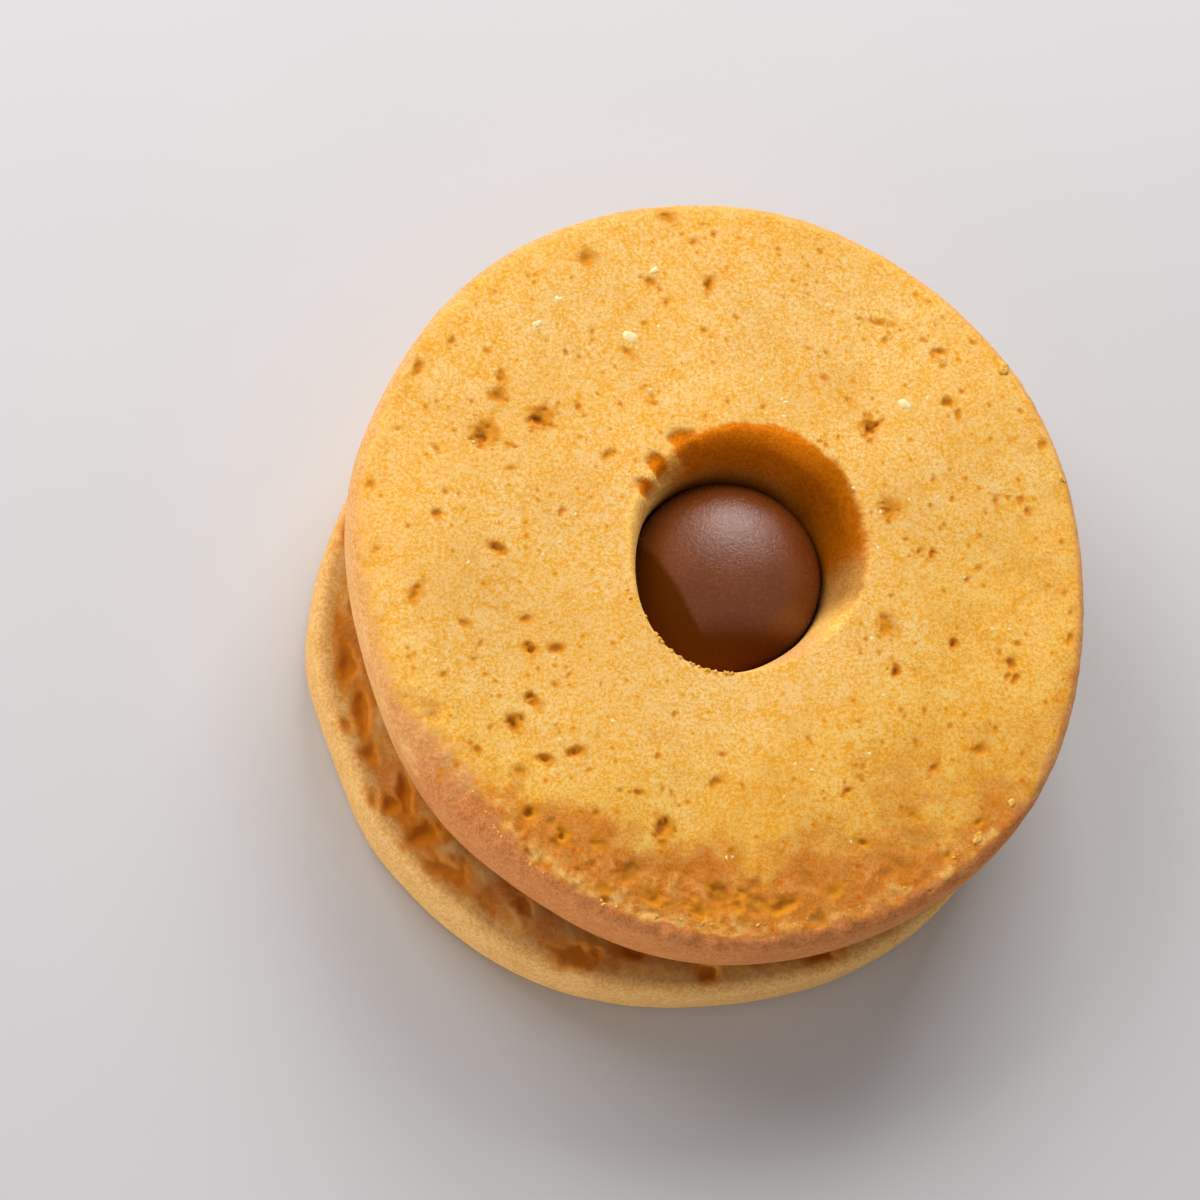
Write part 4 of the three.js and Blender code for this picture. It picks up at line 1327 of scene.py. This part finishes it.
class COOKIE_OT_stage(bpy.types.Operator):
    """Lays the pale floor and sets the light and the camera"""

    bl_idname = "cookie.set_stage"
    bl_label = "Set stage"

    def execute(self, context):
        scene = context.scene
        light = scene.cookie_light
        sheet = bmesh.new()
        bmesh.ops.create_grid(sheet, x_segments=8, y_segments=8, size=FLOOR_REACH)
        floor = finished_piece("floor", sheet, floor_material(scene.cookie_colours), in_millimetres=False)
        floor.location.z = -FLOOR_DROP

        world = bpy.data.worlds.new("pale_sky")
        world.use_nodes = True
        background = world.node_tree.nodes["Background"]
        background.inputs["Color"].default_value = (1.0, 0.98, 0.97, 1.0)
        background.inputs["Strength"].default_value = light.sky_strength
        scene.world = world

        turn = camera_turn()
        square, strip = (light.key_size, light.key_size), (light.key_size, light.key_size / 8.0)
        lamps = (
            ("key", light.key_slant, light.key_turn, square, light.key_power),
            ("side", light.side_slant, light.side_turn, strip, light.side_power),
            ("fill", light.fill_slant, light.fill_turn, square, light.fill_power),
            ("low", light.low_slant, light.low_turn, strip, light.low_power),
        )
        # The fill leaves no highlight on the chocolate
        for name, slant, around, size, power in lamps:
            lamp = soft_light(name, turn, slant, around, light.key_distance, size, power)
            lamp.visible_glossy = name != "fill"

        lens = bpy.data.cameras.new("photo_view")
        lens.sensor_width = SENSOR_WIDTH
        lens.lens = SENSOR_WIDTH * FOCAL_PIXELS / IMAGE_SIDE
        lens.clip_start = CLIP_START
        camera = bpy.data.objects.new("photo_view", lens)
        camera.location = camera_place(turn)
        camera.rotation_mode = "QUATERNION"
        camera.rotation_quaternion = turn
        scene.collection.objects.link(camera)
        scene.camera = camera
        scene.view_settings.view_transform = "Standard"
        return {"FINISHED"}


class COOKIE_PT_panel(bpy.types.Panel):
    """Lists the steps that bake the cookie"""

    bl_idname = "COOKIE_PT_panel"
    bl_label = "Sandwich cookie"
    bl_space_type = "VIEW_3D"
    bl_region_type = "UI"
    bl_category = "Cookie"

    def draw(self, context):
        for step in STEPS:
            self.layout.operator(step.bl_idname)
        for group in ("cookie_sizes", "cookie_colours", "cookie_light"):
            box = self.layout.box()
            settings = getattr(context.scene, group)
            for field in settings.__annotations__:
                box.prop(settings, field)


STEPS = (
    COOKIE_OT_ring, COOKIE_OT_base, COOKIE_OT_filling, COOKIE_OT_crumbs, COOKIE_OT_sugar, COOKIE_OT_stage,
)
GROUPS = (COOKIE_PG_sizes, COOKIE_PG_colours, COOKIE_PG_light)


def register():
    for cls in (*GROUPS, *STEPS, COOKIE_PT_panel):
        bpy.utils.register_class(cls)
    bpy.types.Scene.cookie_sizes = PointerProperty(type=COOKIE_PG_sizes)
    bpy.types.Scene.cookie_colours = PointerProperty(type=COOKIE_PG_colours)
    bpy.types.Scene.cookie_light = PointerProperty(type=COOKIE_PG_light)


def unregister():
    del bpy.types.Scene.cookie_light
    del bpy.types.Scene.cookie_colours
    del bpy.types.Scene.cookie_sizes
    for cls in reversed((*GROUPS, *STEPS, COOKIE_PT_panel)):
        bpy.utils.unregister_class(cls)


def main():
    register()
    bpy.ops.cookie.bake_ring()
    bpy.ops.cookie.bake_base()
    bpy.ops.cookie.pour_chocolate()
    bpy.ops.cookie.scatter_crumbs()
    bpy.ops.cookie.press_sugar()
    bpy.ops.cookie.set_stage()


if __name__ == "__main__":
    main()
